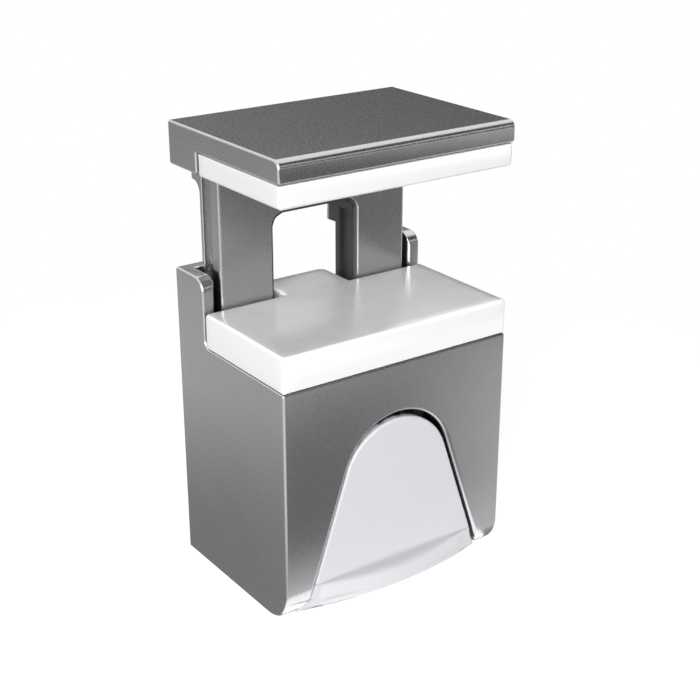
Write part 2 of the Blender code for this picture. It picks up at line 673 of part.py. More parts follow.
def add_slider_jaw():
    back = -JAW_BACK_GAP
    jaw = prism("slider_jaw", "X", rounded([
        (JAW_FRONT, JAW_UNDER, 0), (ARM_FRONT, JAW_UNDER, 0), (ARM_FRONT, JAW_BLOCK_UNDER, 0),
        (back, JAW_BLOCK_UNDER, 0), (back, JAW_TOP, 0), (JAW_FRONT, JAW_TOP, JAW_FRONT_ROUND),
    ]), -HALF - JAW_OVERHANG, HALF + JAW_OVERHANG, CAST_METAL)
    soften(jaw, EDGE)

    # Both arms in one slab, stepped back to the wall at the head, then the window and grooves are cut
    root = JAW_BLOCK_UNDER + OVERLAP
    arms = prism("arms_slab", "X", rounded([
        (ARM_FRONT, ARM_FOOT, 0), (ARM_BACK, ARM_FOOT, 0), (ARM_BACK, OUTER_HEAD_FOOT, HEAD_FILLET),
        (back, OUTER_HEAD_FOOT, 0), (back, root, 0), (ARM_FRONT, root, 0),
    ]), -ARM_OUTER, ARM_OUTER)
    soften(arms, ARM_EDGE)
    heads = prism("inner_heads", "X", rounded([
        (GROOVE_FRONT, INNER_HEAD_FOOT, 0), (ARM_BACK - ARM_EDGE, INNER_HEAD_FOOT, 0),
        (back, INNER_HEAD_FOOT, EDGE), (back, root, 0), (GROOVE_FRONT, root, 0),
    ]), -BACK_NOTCH + RUN_GAP, BACK_NOTCH - RUN_GAP)
    join(arms, heads)
    window = prism("arm_window_cutter", "Y", window_outline(0), ARM_FRONT - OVERCUT, OVERCUT)
    rim = prism("window_rim_cutter", "Y", window_outline(ARM_EDGE), ARM_FRONT - OVERCUT,
                ARM_FRONT + ARM_EDGE)
    soften(rim, ARM_EDGE, segments=2)
    cut(arms, window, rim)
    for side, sign in SIDES:
        outer_groove = block(f"outer_groove_cutter_{side}",
                             (sign * (ARM_OUTER - GROOVE_DEPTH), GROOVE_FRONT, ARM_FOOT - OVERCUT),
                             (sign * (ARM_OUTER + OVERCUT), GROOVE_BACK, JAW_BLOCK_UNDER))
        inner_groove = block(f"inner_groove_cutter_{side}", (0, GROOVE_FRONT, ARM_FOOT - OVERCUT),
                             (sign * (ARM_INNER + GROOVE_DEPTH), GROOVE_BACK, WINDOW_TOP - WINDOW_ROUND))
        shank = rod(f"cross_screw_cutter_{side}", "X", (0, GROOVE_LINE, CROSS_SCREW_LINE),
                    sign * (ARM_OUTER + OVERCUT), CROSS_SCREW_RADIUS + AXLE_PLAY)
        head = rod(f"cross_head_cutter_{side}", "X",
                   (sign * (CROSS_SCREW_SEAT - SEAT_GAP), GROOVE_LINE, CROSS_SCREW_LINE),
                   sign * (ARM_OUTER - CROSS_SCREW_SEAT + OVERCUT), CROSS_SCREW_HEAD + SEAT_GAP)
        cut(arms, outer_groove, inner_groove, shank, head)
    join(jaw, arms)
    for side, sign in SIDES:
        peg_foot = (sign * PAD_PEG_SPREAD, -PAD_PEG_DEPTH, JAW_UNDER - OVERCUT)
        cut(jaw, rod(f"upper_peg_cutter_{side}", "Z", peg_foot, OVERCUT + PAD_PEG_LENGTH + SEAT_GAP,
                     PAD_PEG_RADIUS + SEAT_GAP))
    smooth(jaw)
    ride_on(JAW_FRAME, jaw)


def add_crossbar():
    half = ARM_INNER - SEAT_GAP
    bar = block("crossbar", (-half, CROSSBAR_MIDDLE - CROSSBAR_DEPTH / 2, ARM_FOOT),
                (half, CROSSBAR_MIDDLE + CROSSBAR_DEPTH / 2, CROSSBAR_TOP), STEEL)
    soften(bar, EDGE, segments=1)
    ride_on(JAW_FRAME, bar)
    for side, sign in SIDES:
        peg_foot = (sign * SPRING_SPREAD, SPRING_DEPTH, CROSSBAR_TOP - EDGE)
        join(bar, rod(f"spring_peg_{side}", "Z", peg_foot, SPRING_PEG_LENGTH + EDGE, SPRING_PEG_RADIUS))
        thread_start = (sign * (half - CROSS_SCREW_GRIP - EDGE), GROOVE_LINE, CROSS_SCREW_LINE)
        cut(bar, rod(f"bar_thread_cutter_{side}", "X", thread_start,
                     sign * (CROSS_SCREW_GRIP + EDGE + OVERCUT), CROSS_SCREW_RADIUS + AXLE_PLAY))
        screw_start = (sign * (half - CROSS_SCREW_GRIP), GROOVE_LINE, CROSS_SCREW_LINE)
        screw = cap_screw(f"crossbar_screw_{side}", screw_start, sign,
                          CROSS_SCREW_SEAT - half + CROSS_SCREW_GRIP, CROSS_SCREW_RADIUS, CROSS_SCREW_HEAD,
                          CROSS_SCREW_HEAD_LENGTH)
        ride_on(JAW_FRAME, screw)
    smooth(bar)


def cap_screw(name, start, sign, reach, radius, head_radius, head_length):
    """A screw along X: its shank from a start point, then its round head with a hexagon socket."""
    head_start = Vector(start) + Vector((sign * reach, 0, 0))
    key_start = head_start + Vector((sign * head_length / 2, 0, 0))
    screw = rod(name, "X", start, sign * (reach + EDGE), radius, material=STEEL, sides=16)
    join(screw, rod(name + "_head", "X", head_start, sign * head_length, head_radius))
    cut(screw, rod(name + "_key_cutter", "X", key_start, sign * (head_length + OVERCUT), head_radius / 2,
                   sides=6))
    smooth(screw)
    return screw


def add_guides():
    inner_half = ARM_INNER - RUN_GAP
    rib_half = inner_half + GROOVE_DEPTH
    rib_front, rib_back = GROOVE_FRONT + RUN_GAP, GROOVE_BACK - RUN_GAP
    guide = block("guide_block", (-inner_half, ARM_FRONT - GUIDE_BLOCK_LEAD, GUIDE_BLOCK_FOOT),
                  (inner_half, rib_back + EDGE, GUIDE_TOP), GUIDE_PLASTIC)
    join(guide, block("guide_ribs", (-rib_half, rib_front, GUIDE_BLOCK_FOOT),
                      (rib_half, rib_back, GUIDE_TOP)))
    hole_foot = GUIDE_BLOCK_FOOT - OVERCUT
    hole_length = GUIDE_BLOCK_HEIGHT + 2 * OVERCUT
    for side, sign in SIDES:
        cut(guide, rod(f"spring_hole_cutter_{side}", "Z", (sign * SPRING_SPREAD, SPRING_DEPTH, hole_foot),
                       hole_length, SPRING_RADIUS + SPRING_WIRE / 2 + RUN_GAP))
    cut(guide, rod("guide_thread_cutter", "Z", (0, SPRING_DEPTH, hole_foot), hole_length,
                   GUIDE_SCREW_RADIUS + AXLE_PLAY))
    smooth(guide)
    turned("guide_block_screw", "Z", (0, SPRING_DEPTH, SEAT_HEIGHT - SEAT_GAP), [
        (0, 0), (GUIDE_SCREW_HEAD, 0), (GUIDE_SCREW_RADIUS, GUIDE_SCREW_RADIUS - GUIDE_SCREW_HEAD),
        (GUIDE_SCREW_RADIUS, EDGE - GUIDE_SCREW_LENGTH), (GUIDE_SCREW_RADIUS - EDGE, -GUIDE_SCREW_LENGTH),
        (0, -GUIDE_SCREW_LENGTH),
    ], STEEL)

    # Each liner is an outer wall with a rib, and a web across the foot of the arm's front
    outer = CAVITY_HALF - SEAT_GAP
    inner = outer - LINER_THICKNESS
    rib = ARM_OUTER - GROOVE_DEPTH + RUN_GAP
    wall_back = ARM_BACK - RUN_GAP
    web_back = SLOT_FRONT
    web_front = web_back - LINER_WEB
    for side, sign in SIDES:
        plan = [
            (outer, web_front), (outer, wall_back), (inner, wall_back), (inner, rib_back), (rib, rib_back),
            (rib, rib_front), (inner, rib_front), (inner, web_back), (ARM_INNER, web_back),
            (ARM_INNER, web_front),
        ]
        liner = prism(f"guide_liner_{side}", "Z", [(sign * x, y) for x, y in plan], LINER_FOOT, GUIDE_TOP,
                      GUIDE_PLASTIC)
        cut(liner, block(f"liner_web_cutter_{side}",
                         (sign * (ARM_INNER - OVERCUT), web_front - OVERCUT, LINER_WEB_TOP),
                         (sign * (outer + OVERCUT), web_back, GUIDE_TOP + OVERCUT)))
        smooth(liner)


def helix(centre, radius, turns, low, high, points_per_turn=12):
    """Points of an upright coil that has a closed turn at each end."""
    count = turns * points_per_turn
    points = []
    for k in range(count + 1):
        turn = k / points_per_turn
        pitched = min(max((turn - 1) / (turns - 2), 0), 1)
        closed = min(turn, 1) + max(turn - turns + 1, 0)
        height = low + closed * SPRING_WIRE + pitched * (high - low - 2 * SPRING_WIRE)
        angle = 2 * math.pi * turn
        points.append((centre[0] + radius * math.cos(angle), centre[1] + radius * math.sin(angle), height))
    return points


def add_closing_springs():
    low = CROSSBAR_TOP + SEAT_GAP + SPRING_WIRE / 2
    high = DECK_UNDER - SEAT_GAP - SPRING_WIRE / 2
    for side, sign in SIDES:
        coil = helix((sign * SPRING_SPREAD, SPRING_DEPTH), SPRING_RADIUS, SPRING_TURNS, low, high)
        wire(f"closing_spring_{side}", coil, SPRING_WIRE, SPRING_STEEL)


# Lever, axle and cams

def bezier(start, middle, end, pieces):
    """Points of a curve from start to end that leaves and arrives towards middle."""
    shares = (k / pieces for k in range(pieces + 1))
    return [start * (1 - s) ** 2 + middle * 2 * s * (1 - s) + end * s * s for s in shares]


def lip_section(out):
    """The lip's (y, z) line down to its edge, at a share of the way out from the middle."""
    share = out * out
    crease = Vector((LEVER_FACE, LIP_CREASE + LIP_CREASE_RISE * share))
    edge = Vector((FRONT - LIP_REACH + LIP_BOW * share, LIP_FOOT - LIP_FOOT_DROP * share))
    belly = Vector((min(edge.x, LEVER_FACE - LIP_BULGE), edge.y + LIP_BELLY * (crease.y - edge.y)))
    top = Vector((LEVER_FACE, crease.y + LIP_END_FILLET + LIP_FILLET * (1 - share)))
    lip = bezier(crease, belly, edge, LIP_PIECES)
    return bezier(top, crease, lip[2], FILLET_PIECES) + lip[3:]


def half_width(outline, height):
    """How far out the outline's first flank is at a height."""
    for low, high in zip(outline, outline[1:]):
        if low.y <= height <= high.y:
            return low.lerp(high, (height - low.y) / (high.y - low.y)).x


def skin_row(columns, fronts, inner, outer, backs, back_half):
    """One closed row of the skin: across its front, round one edge, back behind it and round the other."""
    lean = math.sin(math.pi / 4)
    middle = inner.lerp(outer, lean)
    front = fronts[0].x
    edge = [(-middle.x, front + (1 - lean) * LEVER_EDGE, middle.y), (-outer.x, front + LEVER_EDGE, outer.y)]
    across = [(out * inner.x, *point) for out, point in zip(columns, fronts)]
    behind = [(-out * back_half, *point) for out, point in zip(columns, backs)]
    return across + edge + behind + [(-x, y, z) for x, y, z in reversed(edge)]


def skin_rows(columns):
    """Rows from the lip's edge up to the top of the arch."""
    inner = cutout_outline(LEVER_GAP + LEVER_EDGE, LEVER_TOP_GAP + LEVER_EDGE)
    outer = cutout_outline(LEVER_GAP, LEVER_TOP_GAP)
    sections = [lip_section(out) for out in columns]
    edges = [section[-1] for section in sections]
    rows = []
    for number in reversed(range(len(sections[0]))):
        fronts = [section[number] for section in sections]
        height = fronts[0].y
        thickness = LIP_THICKNESS if number > FILLET_PIECES else 0
        backs = [Vector((max(LEVER_BACK, edge.x + thickness), max(front.y, edge.y + LIP_UNDERCUT)))
                 for front, edge in zip(fronts, edges)]
        rows.append(skin_row(columns, fronts, Vector((half_width(inner, height), height)),
                             Vector((half_width(outer, height), height)), backs,
                             half_width(outer, backs[0].y)))
    for near, far in zip(inner, outer[:len(outer) // 2 + 1]):
        if near.y > height:
            rows.append(skin_row(columns, [Vector((LEVER_FACE, near.y))] * len(columns), near, far,
                                 [Vector((LEVER_BACK, far.y))] * len(columns), far.x))
    return rows


def add_lever_skin():
    """The moulded face and lip, as one skin over its rows."""
    last = LIP_COLUMNS - 1
    columns = [1 - 2 * k / last for k in range(LIP_COLUMNS)]
    shape = bmesh.new()
    rings = [[shape.verts.new(point) for point in row] for row in skin_rows(columns)]
    for near, far in zip(rings, rings[1:]):
        for k in range(len(near)):
            shape.faces.new((near[k - 1], near[k], far[k], far[k - 1]))
    foot = rings[0]
    under = foot[-3:last + 2:-1]
    for k in range(last):
        shape.faces.new((foot[k], foot[k + 1], under[k + 1], under[k]))
    shape.faces.new(foot[last:last + 4])
    shape.faces.new(foot[-3:] + foot[:1])
    return add_piece("release_lever", mesh_from(shape, "release_lever"), LEVER_PLASTIC)


def cheek_outline():
    """A cheek's side view: a foot on the lever's back, then a crank to the axle and the cam's screw."""
    return rounded([
        (LEVER_BACK - EDGE, CHEEK_FOOT, 0), (LEVER_BACK - EDGE, CHEEK_SHOULDER, 0),
        (AXLE_Y + CHEEK_NECK, CHEEK_SHOULDER + CHEEK_NECK_RISE, CHEEK_ROUND),
        (AXLE_Y - AXLE_HUB / 2, AXLE_HEIGHT - AXLE_HUB / 2, 0), (AXLE_Y, AXLE_HEIGHT + AXLE_HUB - EDGE, 0),
        (CAM_SCREW.x + AXLE_HUB, CAM_SCREW.y + AXLE_HUB, HUB_ROUND),
        (CAM_SCREW.x + AXLE_HUB, CAM_SCREW.y - AXLE_HUB, CHEEK_ROUND),
        (AXLE_Y + CHEEK_ELBOW, CHEEK_SHOULDER, CHEEK_ELBOW_ROUND),
        (LEVER_BACK + LIP_THICKNESS, CHEEK_FOOT, CHEEK_ROUND),
    ])


def add_release_lever():
    skin = add_lever_skin()
    for side, sign in SIDES:
        cheek = prism(f"lever_cheek_{side}", "X", cheek_outline(), *span(sign, CHEEK_INNER, CHEEK_OUTER))
        hub = rod(f"lever_hub_{side}", "X", (sign * CHEEK_INNER, AXLE_Y, AXLE_HEIGHT),
                  sign * CHEEK_THICKNESS, AXLE_HUB)
        join(skin, cheek, hub)
        cut(skin, rod(f"cheek_screw_cutter_{side}", "X", (sign * (CHEEK_INNER - OVERCUT), *CAM_SCREW),
                      sign * (CHEEK_THICKNESS + 2 * OVERCUT), CAM_SCREW_RADIUS + AXLE_PLAY))
    between = CHEEK_INNER + EDGE
    bridge_foot = CAM_SCREW.y - AXLE_HUB
    bridge = block("lever_bridge", (-between, CAM_SCREW.x - BRIDGE_SIZE / 2, bridge_foot),
                   (between, CAM_SCREW.x + BRIDGE_SIZE / 2, bridge_foot + BRIDGE_SIZE / 2))
    rib = block("lever_rib", (-between, LEVER_BACK - EDGE, CHEEK_FOOT),
                (between, LEVER_BACK + LIP_THICKNESS - EDGE, CHEEK_FOOT + RIB_HEIGHT))
    join(skin, bridge, rib)
    bore_start = (-CHEEK_OUTER - OVERCUT, AXLE_Y, AXLE_HEIGHT)
    cut(skin, rod("lever_bore_cutter", "X", bore_start, 2 * (CHEEK_OUTER + OVERCUT),
                  AXLE_RADIUS + AXLE_PLAY))
    smooth(skin)
    ride_on(LEVER_FRAME, skin)


def add_cams():
    outline = link_outline((AXLE_Y, AXLE_HEIGHT), AXLE_HUB, CAM_NOSE, CAM_NOSE_RADIUS)
    bore_length = CAM_THICKNESS + 2 * OVERCUT
    for side, sign in SIDES:
        low, high = span(sign, CAM_INNER, CAM_OUTER)
        cam = prism(f"locking_cam_{side}", "X", outline, low, high, STEEL)
        bore = rod(f"cam_bore_cutter_{side}", "X", (low - OVERCUT, AXLE_Y, AXLE_HEIGHT), bore_length,
                   AXLE_RADIUS + AXLE_PLAY)
        screw_hole = rod(f"cam_screw_cutter_{side}", "X", (low - OVERCUT, *CAM_SCREW), bore_length,
                         CAM_SCREW_RADIUS + AXLE_PLAY)
        cut(cam, bore, screw_hole)
        smooth(cam)
        start = CHEEK_INNER + EDGE
        screw = cap_screw(f"cam_screw_{side}", (sign * start, *CAM_SCREW), sign,
                          CAM_OUTER + SEAT_GAP - start, CAM_SCREW_RADIUS, CAM_SCREW_HEAD,
                          CAM_SCREW_HEAD_LENGTH)
        ride_on(LEVER_FRAME, cam, screw)


def add_axle():
    groove = LUG_OUTER + SEAT_GAP
    groove_end = groove + CLIP_THICKNESS + SEAT_GAP
    end = groove_end + EDGE
    half_profile = [
        (0, end), (AXLE_RADIUS - EDGE / 2, end), (AXLE_RADIUS, end - EDGE / 2), (AXLE_RADIUS, groove_end),
        (CLIP_NECK, groove_end), (CLIP_NECK, groove), (AXLE_RADIUS, groove),
    ]
    profile = half_profile + [(radius, -distance) for radius, distance in reversed(half_profile)]
    turned("lever_axle", "X", (0, AXLE_Y, AXLE_HEIGHT), profile, STEEL)
    ring = arc((0, 0), CLIP_RADIUS, CLIP_MOUTH, 2 * math.pi - CLIP_MOUTH, 20)
    ring += arc((0, 0), CLIP_NECK + AXLE_PLAY, 2 * math.pi - CLIP_MOUTH, CLIP_MOUTH, 14)
    outline = [point + Vector((AXLE_Y, AXLE_HEIGHT)) for point in ring]
    near = groove + SEAT_GAP / 2
    for side, sign in SIDES:
        low, high = span(sign, near, near + CLIP_THICKNESS)
        clip = prism(f"axle_clip_{side}", "X", outline, low, high, SPRING_STEEL)
        smooth(clip)


def add_lever_spring():
    """A coil round the axle, one leg up against the front wall and the other under the lever's bridge."""
    half_length = LEVER_COIL_TURNS * LEVER_COIL_PITCH / 2
    sweep = 2 * math.pi * LEVER_COIL_TURNS + LEVER_COIL_START - LEVER_COIL_END
    count = round(sweep / math.radians(30))
    under_bridge = CAM_SCREW.y - AXLE_HUB - LEVER_WIRE / 2 - RUN_GAP
    points = [(-half_length, AXLE_Y - LEVER_COIL_RADIUS, DECK_UNDER - LEVER_LEG_DROP)]
    for k in range(count + 1):
        angle = LEVER_COIL_START - sweep * k / count
        points.append((
            half_length * (2 * k / count - 1),
            AXLE_Y + LEVER_COIL_RADIUS * math.cos(angle),
            AXLE_HEIGHT + LEVER_COIL_RADIUS * math.sin(angle),
        ))
    points.append((half_length, CAM_SCREW.x - BRIDGE_SIZE, under_bridge))
    points.append((half_length, CAM_SCREW.x + BRIDGE_SIZE / 2, under_bridge))
    ride_on(LEVER_FRAME, wire("lever_spring", points, LEVER_WIRE, SPRING_STEEL))


add_housing()
add_wall_plate()
add_lock_screws()
add_lower_pad()
add_upper_pad()
add_slider_jaw()
add_crossbar()
add_guides()
add_closing_springs()
add_release_lever()
add_cams()
add_axle()
add_lever_spring()
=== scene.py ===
"""Dresses the clamping shelf support: satin metal, soft pads, moulded lever, plated fixings and studio."""

import json
import math

import bmesh
import bpy
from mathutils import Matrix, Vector


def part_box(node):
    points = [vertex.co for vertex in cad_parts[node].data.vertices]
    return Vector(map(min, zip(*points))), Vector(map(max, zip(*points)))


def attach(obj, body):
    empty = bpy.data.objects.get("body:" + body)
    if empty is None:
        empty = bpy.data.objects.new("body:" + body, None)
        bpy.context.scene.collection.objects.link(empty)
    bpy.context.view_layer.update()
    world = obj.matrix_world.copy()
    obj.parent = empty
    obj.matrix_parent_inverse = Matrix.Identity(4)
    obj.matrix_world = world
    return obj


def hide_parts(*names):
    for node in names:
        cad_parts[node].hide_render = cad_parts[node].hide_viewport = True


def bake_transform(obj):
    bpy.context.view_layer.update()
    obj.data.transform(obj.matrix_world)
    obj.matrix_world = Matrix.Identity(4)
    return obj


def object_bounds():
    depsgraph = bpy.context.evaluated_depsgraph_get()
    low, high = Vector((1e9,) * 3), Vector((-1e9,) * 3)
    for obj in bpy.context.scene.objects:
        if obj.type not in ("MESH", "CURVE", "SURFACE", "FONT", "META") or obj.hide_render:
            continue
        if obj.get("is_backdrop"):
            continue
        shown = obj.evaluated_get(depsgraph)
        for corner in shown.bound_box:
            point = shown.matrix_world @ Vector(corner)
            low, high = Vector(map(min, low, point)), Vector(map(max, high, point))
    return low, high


bl_info = {
    "name": "Clamping shelf support",
    "version": (1, 0, 0),
    "blender": (4, 5, 0),
    "location": "View3D > Sidebar > Shelf support",
    "description": "Gives the shelf support's frame its finished pieces, materials and studio",
    "category": "Object",
}

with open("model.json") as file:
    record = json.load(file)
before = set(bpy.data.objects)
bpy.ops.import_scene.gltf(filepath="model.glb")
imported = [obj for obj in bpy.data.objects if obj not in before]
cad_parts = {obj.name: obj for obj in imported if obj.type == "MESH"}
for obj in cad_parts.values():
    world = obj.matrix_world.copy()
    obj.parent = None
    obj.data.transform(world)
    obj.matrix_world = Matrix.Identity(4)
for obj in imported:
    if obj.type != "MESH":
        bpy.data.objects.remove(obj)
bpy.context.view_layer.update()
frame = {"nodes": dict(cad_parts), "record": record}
MM = 0.001

# Mesh limits
NEAR = 0.001 * MM
SHORTEST_EDGE = 0.06 * MM
FLAT_ANGLE = math.radians(0.3)
SHARP_ANGLE = math.radians(35)
SMOOTH_ANGLE = math.radians(28)
SHADING_WEIGHT = 80

# Housing: painted shade, a darker colour, and dull raw metal start this far inside its box
SHADED_RAW_SIDE = 2.7 * MM
SHADED_RAW_FRONT = 2.4 * MM
SHADED_RAW_FLOOR = 2.9 * MM
SHADED_RAW_TOP = 0.8 * MM
SHADED_RAW_BACK = 0.5 * MM

# Jaw: painted shade and dull raw metal start this far behind the tongue's root, and go this far past the
# arms' inner sides
ARM_RIM = 0.5 * MM
ARM_INNER = 9.25 * MM
GROOVE_ROOM = 2.5 * MM

# Lever: depths are behind the housing's front, heights are in the frame
LEVER_FACE = 0.8 * MM
LEVER_RECESS = 0.45 * MM
LEVER_SKIN = 1.4 * MM
# Painted shade on the lever: a box that starts this deep, this far over the crease, with this margin round it
LEVER_SHADE_DEPTH = 1.7 * MM
SHADE_OVER_CREASE = 0.5 * MM
SHADE_MARGIN = Vector((MM, MM, 5 * MM))
LIP_SKIN = 1.3 * MM
LIP_ZONE = (-23 * MM, -14.9 * MM)
LIP_CUTS = 3
LIP_CREASE = -18.02 * MM
LIP_RISE = 0.55 * MM
LIP_HALF = 17.3 * MM
LIP_BLEND = 1.5 * MM
LIP_BOW = 1.3
LIP_STEP = 1.6 * MM
LIP_SOFT = 0.55 * MM
LIP_BELLY = 0.1 * MM
LIP_DEPTH = 4.4 * MM
LIP_FADE = 0.7
CREASE_WIDTH = 1.5 * MM
CREASE_END = 0.3 * MM

# Pads
TONGUE = {"half": 7.5 * MM, "root": -10.15 * MM, "round": 1.8 * MM}
PAD_CELL = 2.3 * MM
PAD_CROWN = 0.12 * MM
ROUND_STEPS = 5
HELD_SHARE = 0.25
PEG_SPREAD = 15 * MM
PEG_DEPTH = 23 * MM
PEG_RADIUS = 2.4 * MM
PEG_LENGTH = 2.2 * MM
PEG_EDGE = 0.3 * MM
PEG_SIDES = 32
PEG_STEPS = 3

# Closing springs
SPRING_WIRE = 0.6 * MM
SPRING_TURNS = 9
COIL_POINTS = 28
WIRE_SIDES = 12

# Finishes: shades and tints are shares of the material's colour, and gloss is added to its roughness
METAL = {"shades": (0.94, 1.06), "gloss": (-0.04, 0.05), "mottle": 7 * MM, "depth": 0.02 * MM}
PLASTIC = {"shades": (0.98, 1.015), "gloss": (-0.03, 0.05), "mottle": 9 * MM, "depth": 0.01 * MM}
GRAIN_SPAN = (0.3, 0.7)
PLATED_GRAIN = 0.15 * MM
PLASTIC_GRAIN = 0.25 * MM
# Inside a casting's box: a darker colour that is painted shade, and the raw metal's added roughness
INSIDE_SHADE_TINT = 0.25
RAW_DULLNESS = 0.4
# Painted shade on the lever: dark deep in its gap behind the housing's rim, and darker along its crease
GAP_SHADE_TINT = 0.12
CREASE_SHADE_TINT = 0.68

# The pads' finish: its own roughness between threads and on them, and how level a woven face is
PAD = {"thread": 0.72, "light": 1.02, "roughness": (0.42, 0.28), "mottle": 5 * MM, "depth": 0.02 * MM}
PAD_RELIEF = 0.7
WOVEN_SLOPE = (0.9, 0.99)

# Grey cards that the metal mirrors: (bearing in degrees from straight ahead, level) on the floor and wall
CARD_ORIGIN = (-0.137, 0.139, 0)
FLOOR_LEVELS = [
    (-180, 1.2), (22, 1.3), (29, 0.6), (32.5, 0.27), (36, 0.3), (39, 0.48), (42, 0.75), (48, 1.0),
    (100, 1.1), (180, 1.2),
]
WALL_LEVELS = [
    (-180, 0.8), (-150, 0.7), (-90, 1.1), (-20, 1.1), (10, 0.5), (25, 0.08), (60, 0.08), (80, 0.8),
    (100, 0.6), (126, 0.02), (140, 0.04), (153, 0.14), (170, 0.5), (180, 0.6),
]

# Cards further out on the floor in front, by their place across it: (place, level)
MIDDLE_ZONE = (-0.142, -0.125)
MIDDLE_LEVELS = [
    (-1.0, 1.2), (0.035, 1.3), (0.067, 0.9), (0.092, 0.35), (0.116, 0.15), (0.16, 0.1), (0.3, 0.7),
    (1.0, 1.0),
]
FAR_ZONE = (-0.26, -0.20)
FAR_LEVELS = [(-1.0, 1.0), (0.08, 0.1), (0.13, 0.05), (0.19, 0.12), (0.25, 0.75), (0.35, 0.9), (1.0, 1.0)]

# The floor behind, by its distance from the object: (distance, level)
BACK_LEVELS = [(0, 0.33), (0.03, 0.35), (0.07, 0.55), (0.11, 0.75), (0.2, 0.66), (0.32, 0.5), (1.0, 0.6)]
BACK_BLEND = 2 * MM
MOST_LEVEL = 2.2

# The floor's own shade, and the bright floor and strip at the object's foot
FLOOR_HALF = 6.0
FLOOR_COLOUR = (0.42, 0.42, 0.42, 1)
FLOOR_LIFT = 0.82
FLOOR_FADE = (0.07, 0.16)
FOOT_ZONE = (25 * MM, 4 * MM)
FOOT_LEVEL = 1.0
STRIP_MIDDLE = (-2.8 * MM, -MM)
STRIP_HALF = (27.6 * MM, 5 * MM)

# The world, by a heading's parts: Y grows to the back, Z is the sine of the angle above the horizon
CARD_TOP = {"front": 0.76, "back": 0.375, "soft": 0.05}
CARD_TURN = (-0.3, 0.3)
LIGHT_STRIP = {"middle": 0.32, "half": 0.09, "level": 1.2}
CEILING_LEVEL = 1.6
ROOM_HEIGHT = 0.8
ROOM_TOP_SHARE = 0.18

# Lamps
LAMP_SIZE = 0.4
LAMP_AIM = Vector((0, -0.02, 0.02))
KEY_PLACE = Vector((-0.44, -0.42, 0.24))
FILL_PLACE = Vector((-0.08, -0.58, 0.22))


# Settings

class ShelfSupportMetal(bpy.types.PropertyGroup):
    """Colours and finish of the metal pieces."""

    cast_colour: bpy.props.FloatVectorProperty(
        name="Cast metal", description="Colour of the satin cast housing and jaw", subtype="COLOR",
        min=0, max=1, default=(0.42, 0.42, 0.43),
    )
    steel_colour: bpy.props.FloatVectorProperty(
        name="Plated steel", description="Colour of the plate, screws, cams and axle", subtype="COLOR",
        min=0, max=1, default=(0.55, 0.56, 0.58),
    )
    spring_colour: bpy.props.FloatVectorProperty(
        name="Spring steel", description="Colour of the springs and clips", subtype="COLOR",
        min=0, max=1, default=(0.32, 0.32, 0.33),
    )
    cast_roughness: bpy.props.FloatProperty(
        name="Satin roughness", description="How far the cast metal blurs what it reflects",
        min=0.05, max=1, default=0.24, subtype="FACTOR",
    )
    edge: bpy.props.FloatProperty(
        name="Eased edges", description="Width of the small bevel on the castings' edges",
        min=0, max=0.001, default=0.0002, unit="LENGTH",
    )
    grain_size: bpy.props.FloatProperty(
        name="Grain size", description="Width of one grain of the satin finish",
        min=0.00005, max=0.002, default=0.0002, unit="LENGTH",
    )


class ShelfSupportPads(bpy.types.PropertyGroup):
    """Shape and finish of the two pads."""

    colour: bpy.props.FloatVectorProperty(
        name="Pad colour", description="Colour of the soft pads", subtype="COLOR",
        min=0, max=1, default=(0.94, 0.945, 0.945),
    )
    edge: bpy.props.FloatProperty(
        name="Edge radius", description="Radius of the pads' rounded edges",
        min=0.0001, max=0.002, default=0.0007, unit="LENGTH",
    )
    thread: bpy.props.FloatProperty(
        name="Texture pitch", description="Distance from thread to thread of the fine woven face",
        min=0.0001, max=0.002, default=0.0006, unit="LENGTH",
    )


class ShelfSupportLever(bpy.types.PropertyGroup):
    """Finish of the release lever."""

    colour: bpy.props.FloatVectorProperty(
        name="Lever colour", description="Colour of the moulded lever", subtype="COLOR",
        min=0, max=1, default=(0.645, 0.655, 0.675),
    )
    roughness: bpy.props.FloatProperty(
        name="Lever roughness", description="How far the lever blurs what it reflects",
        min=0.05, max=1, default=0.38, subtype="FACTOR",
    )


class ShelfSupportStage(bpy.types.PropertyGroup):
    """Camera, lamps and floor."""

    azimuth: bpy.props.FloatProperty(
        name="Azimuth", description="Camera's angle round the object, from the front", subtype="ANGLE",
        default=math.radians(-35.578),
    )
    elevation: bpy.props.FloatProperty(
        name="Elevation", description="Camera's angle above the horizon", subtype="ANGLE",
        default=math.radians(22.516),
    )
    distance: bpy.props.FloatProperty(
        name="Distance", description="Camera's distance from its target", min=0.05, max=5,
        default=0.2339, unit="LENGTH",
    )
    target: bpy.props.FloatVectorProperty(
        name="Target", description="Point the camera looks at", subtype="TRANSLATION",
        default=(-0.01105, -0.0363, 0.02767),
    )
    lens: bpy.props.FloatProperty(
        name="Lens", description="Camera's focal length in millimetres", min=10, max=300, default=69.49,
    )
    key_strength: bpy.props.FloatProperty(
        name="Key lamp", description="Strength of the main lamp in watts", min=0, max=50, default=4.2,
    )
    fill_strength: bpy.props.FloatProperty(
        name="Fill lamp", description="Strength of the fill lamp in watts", min=0, max=50, default=1.0,
    )
    room_light: bpy.props.FloatProperty(
        name="Room light", description="Strength of the light from all round", min=0, max=5, default=0.7,
    )


SETTINGS = {
    "shelf_support_metal": ShelfSupportMetal,
    "shelf_support_pads": ShelfSupportPads,
    "shelf_support_lever": ShelfSupportLever,
    "shelf_support_stage": ShelfSupportStage,
}


# Node helpers

def add_node(tree, kind, inputs=None, **settings):
    """A node with its settings, and its inputs set from values or linked from sockets."""
    node = tree.nodes.new(kind)
    for name, value in settings.items():
        setattr(node, name, value)
    for name, value in (inputs or {}).items():
        socket = node.inputs[name]
        if isinstance(value, bpy.types.NodeSocket):
            tree.links.new(value, socket)
        else:
            socket.default_value = value
    return node


def sums(tree, operation, first, second=0.0, third=0.0, clamp=False):
    """One step of arithmetic on numbers or sockets."""
    node = add_node(tree, "ShaderNodeMath", {0: first, 1: second, 2: third}, operation=operation,
                    use_clamp=clamp)
    return node.outputs[0]


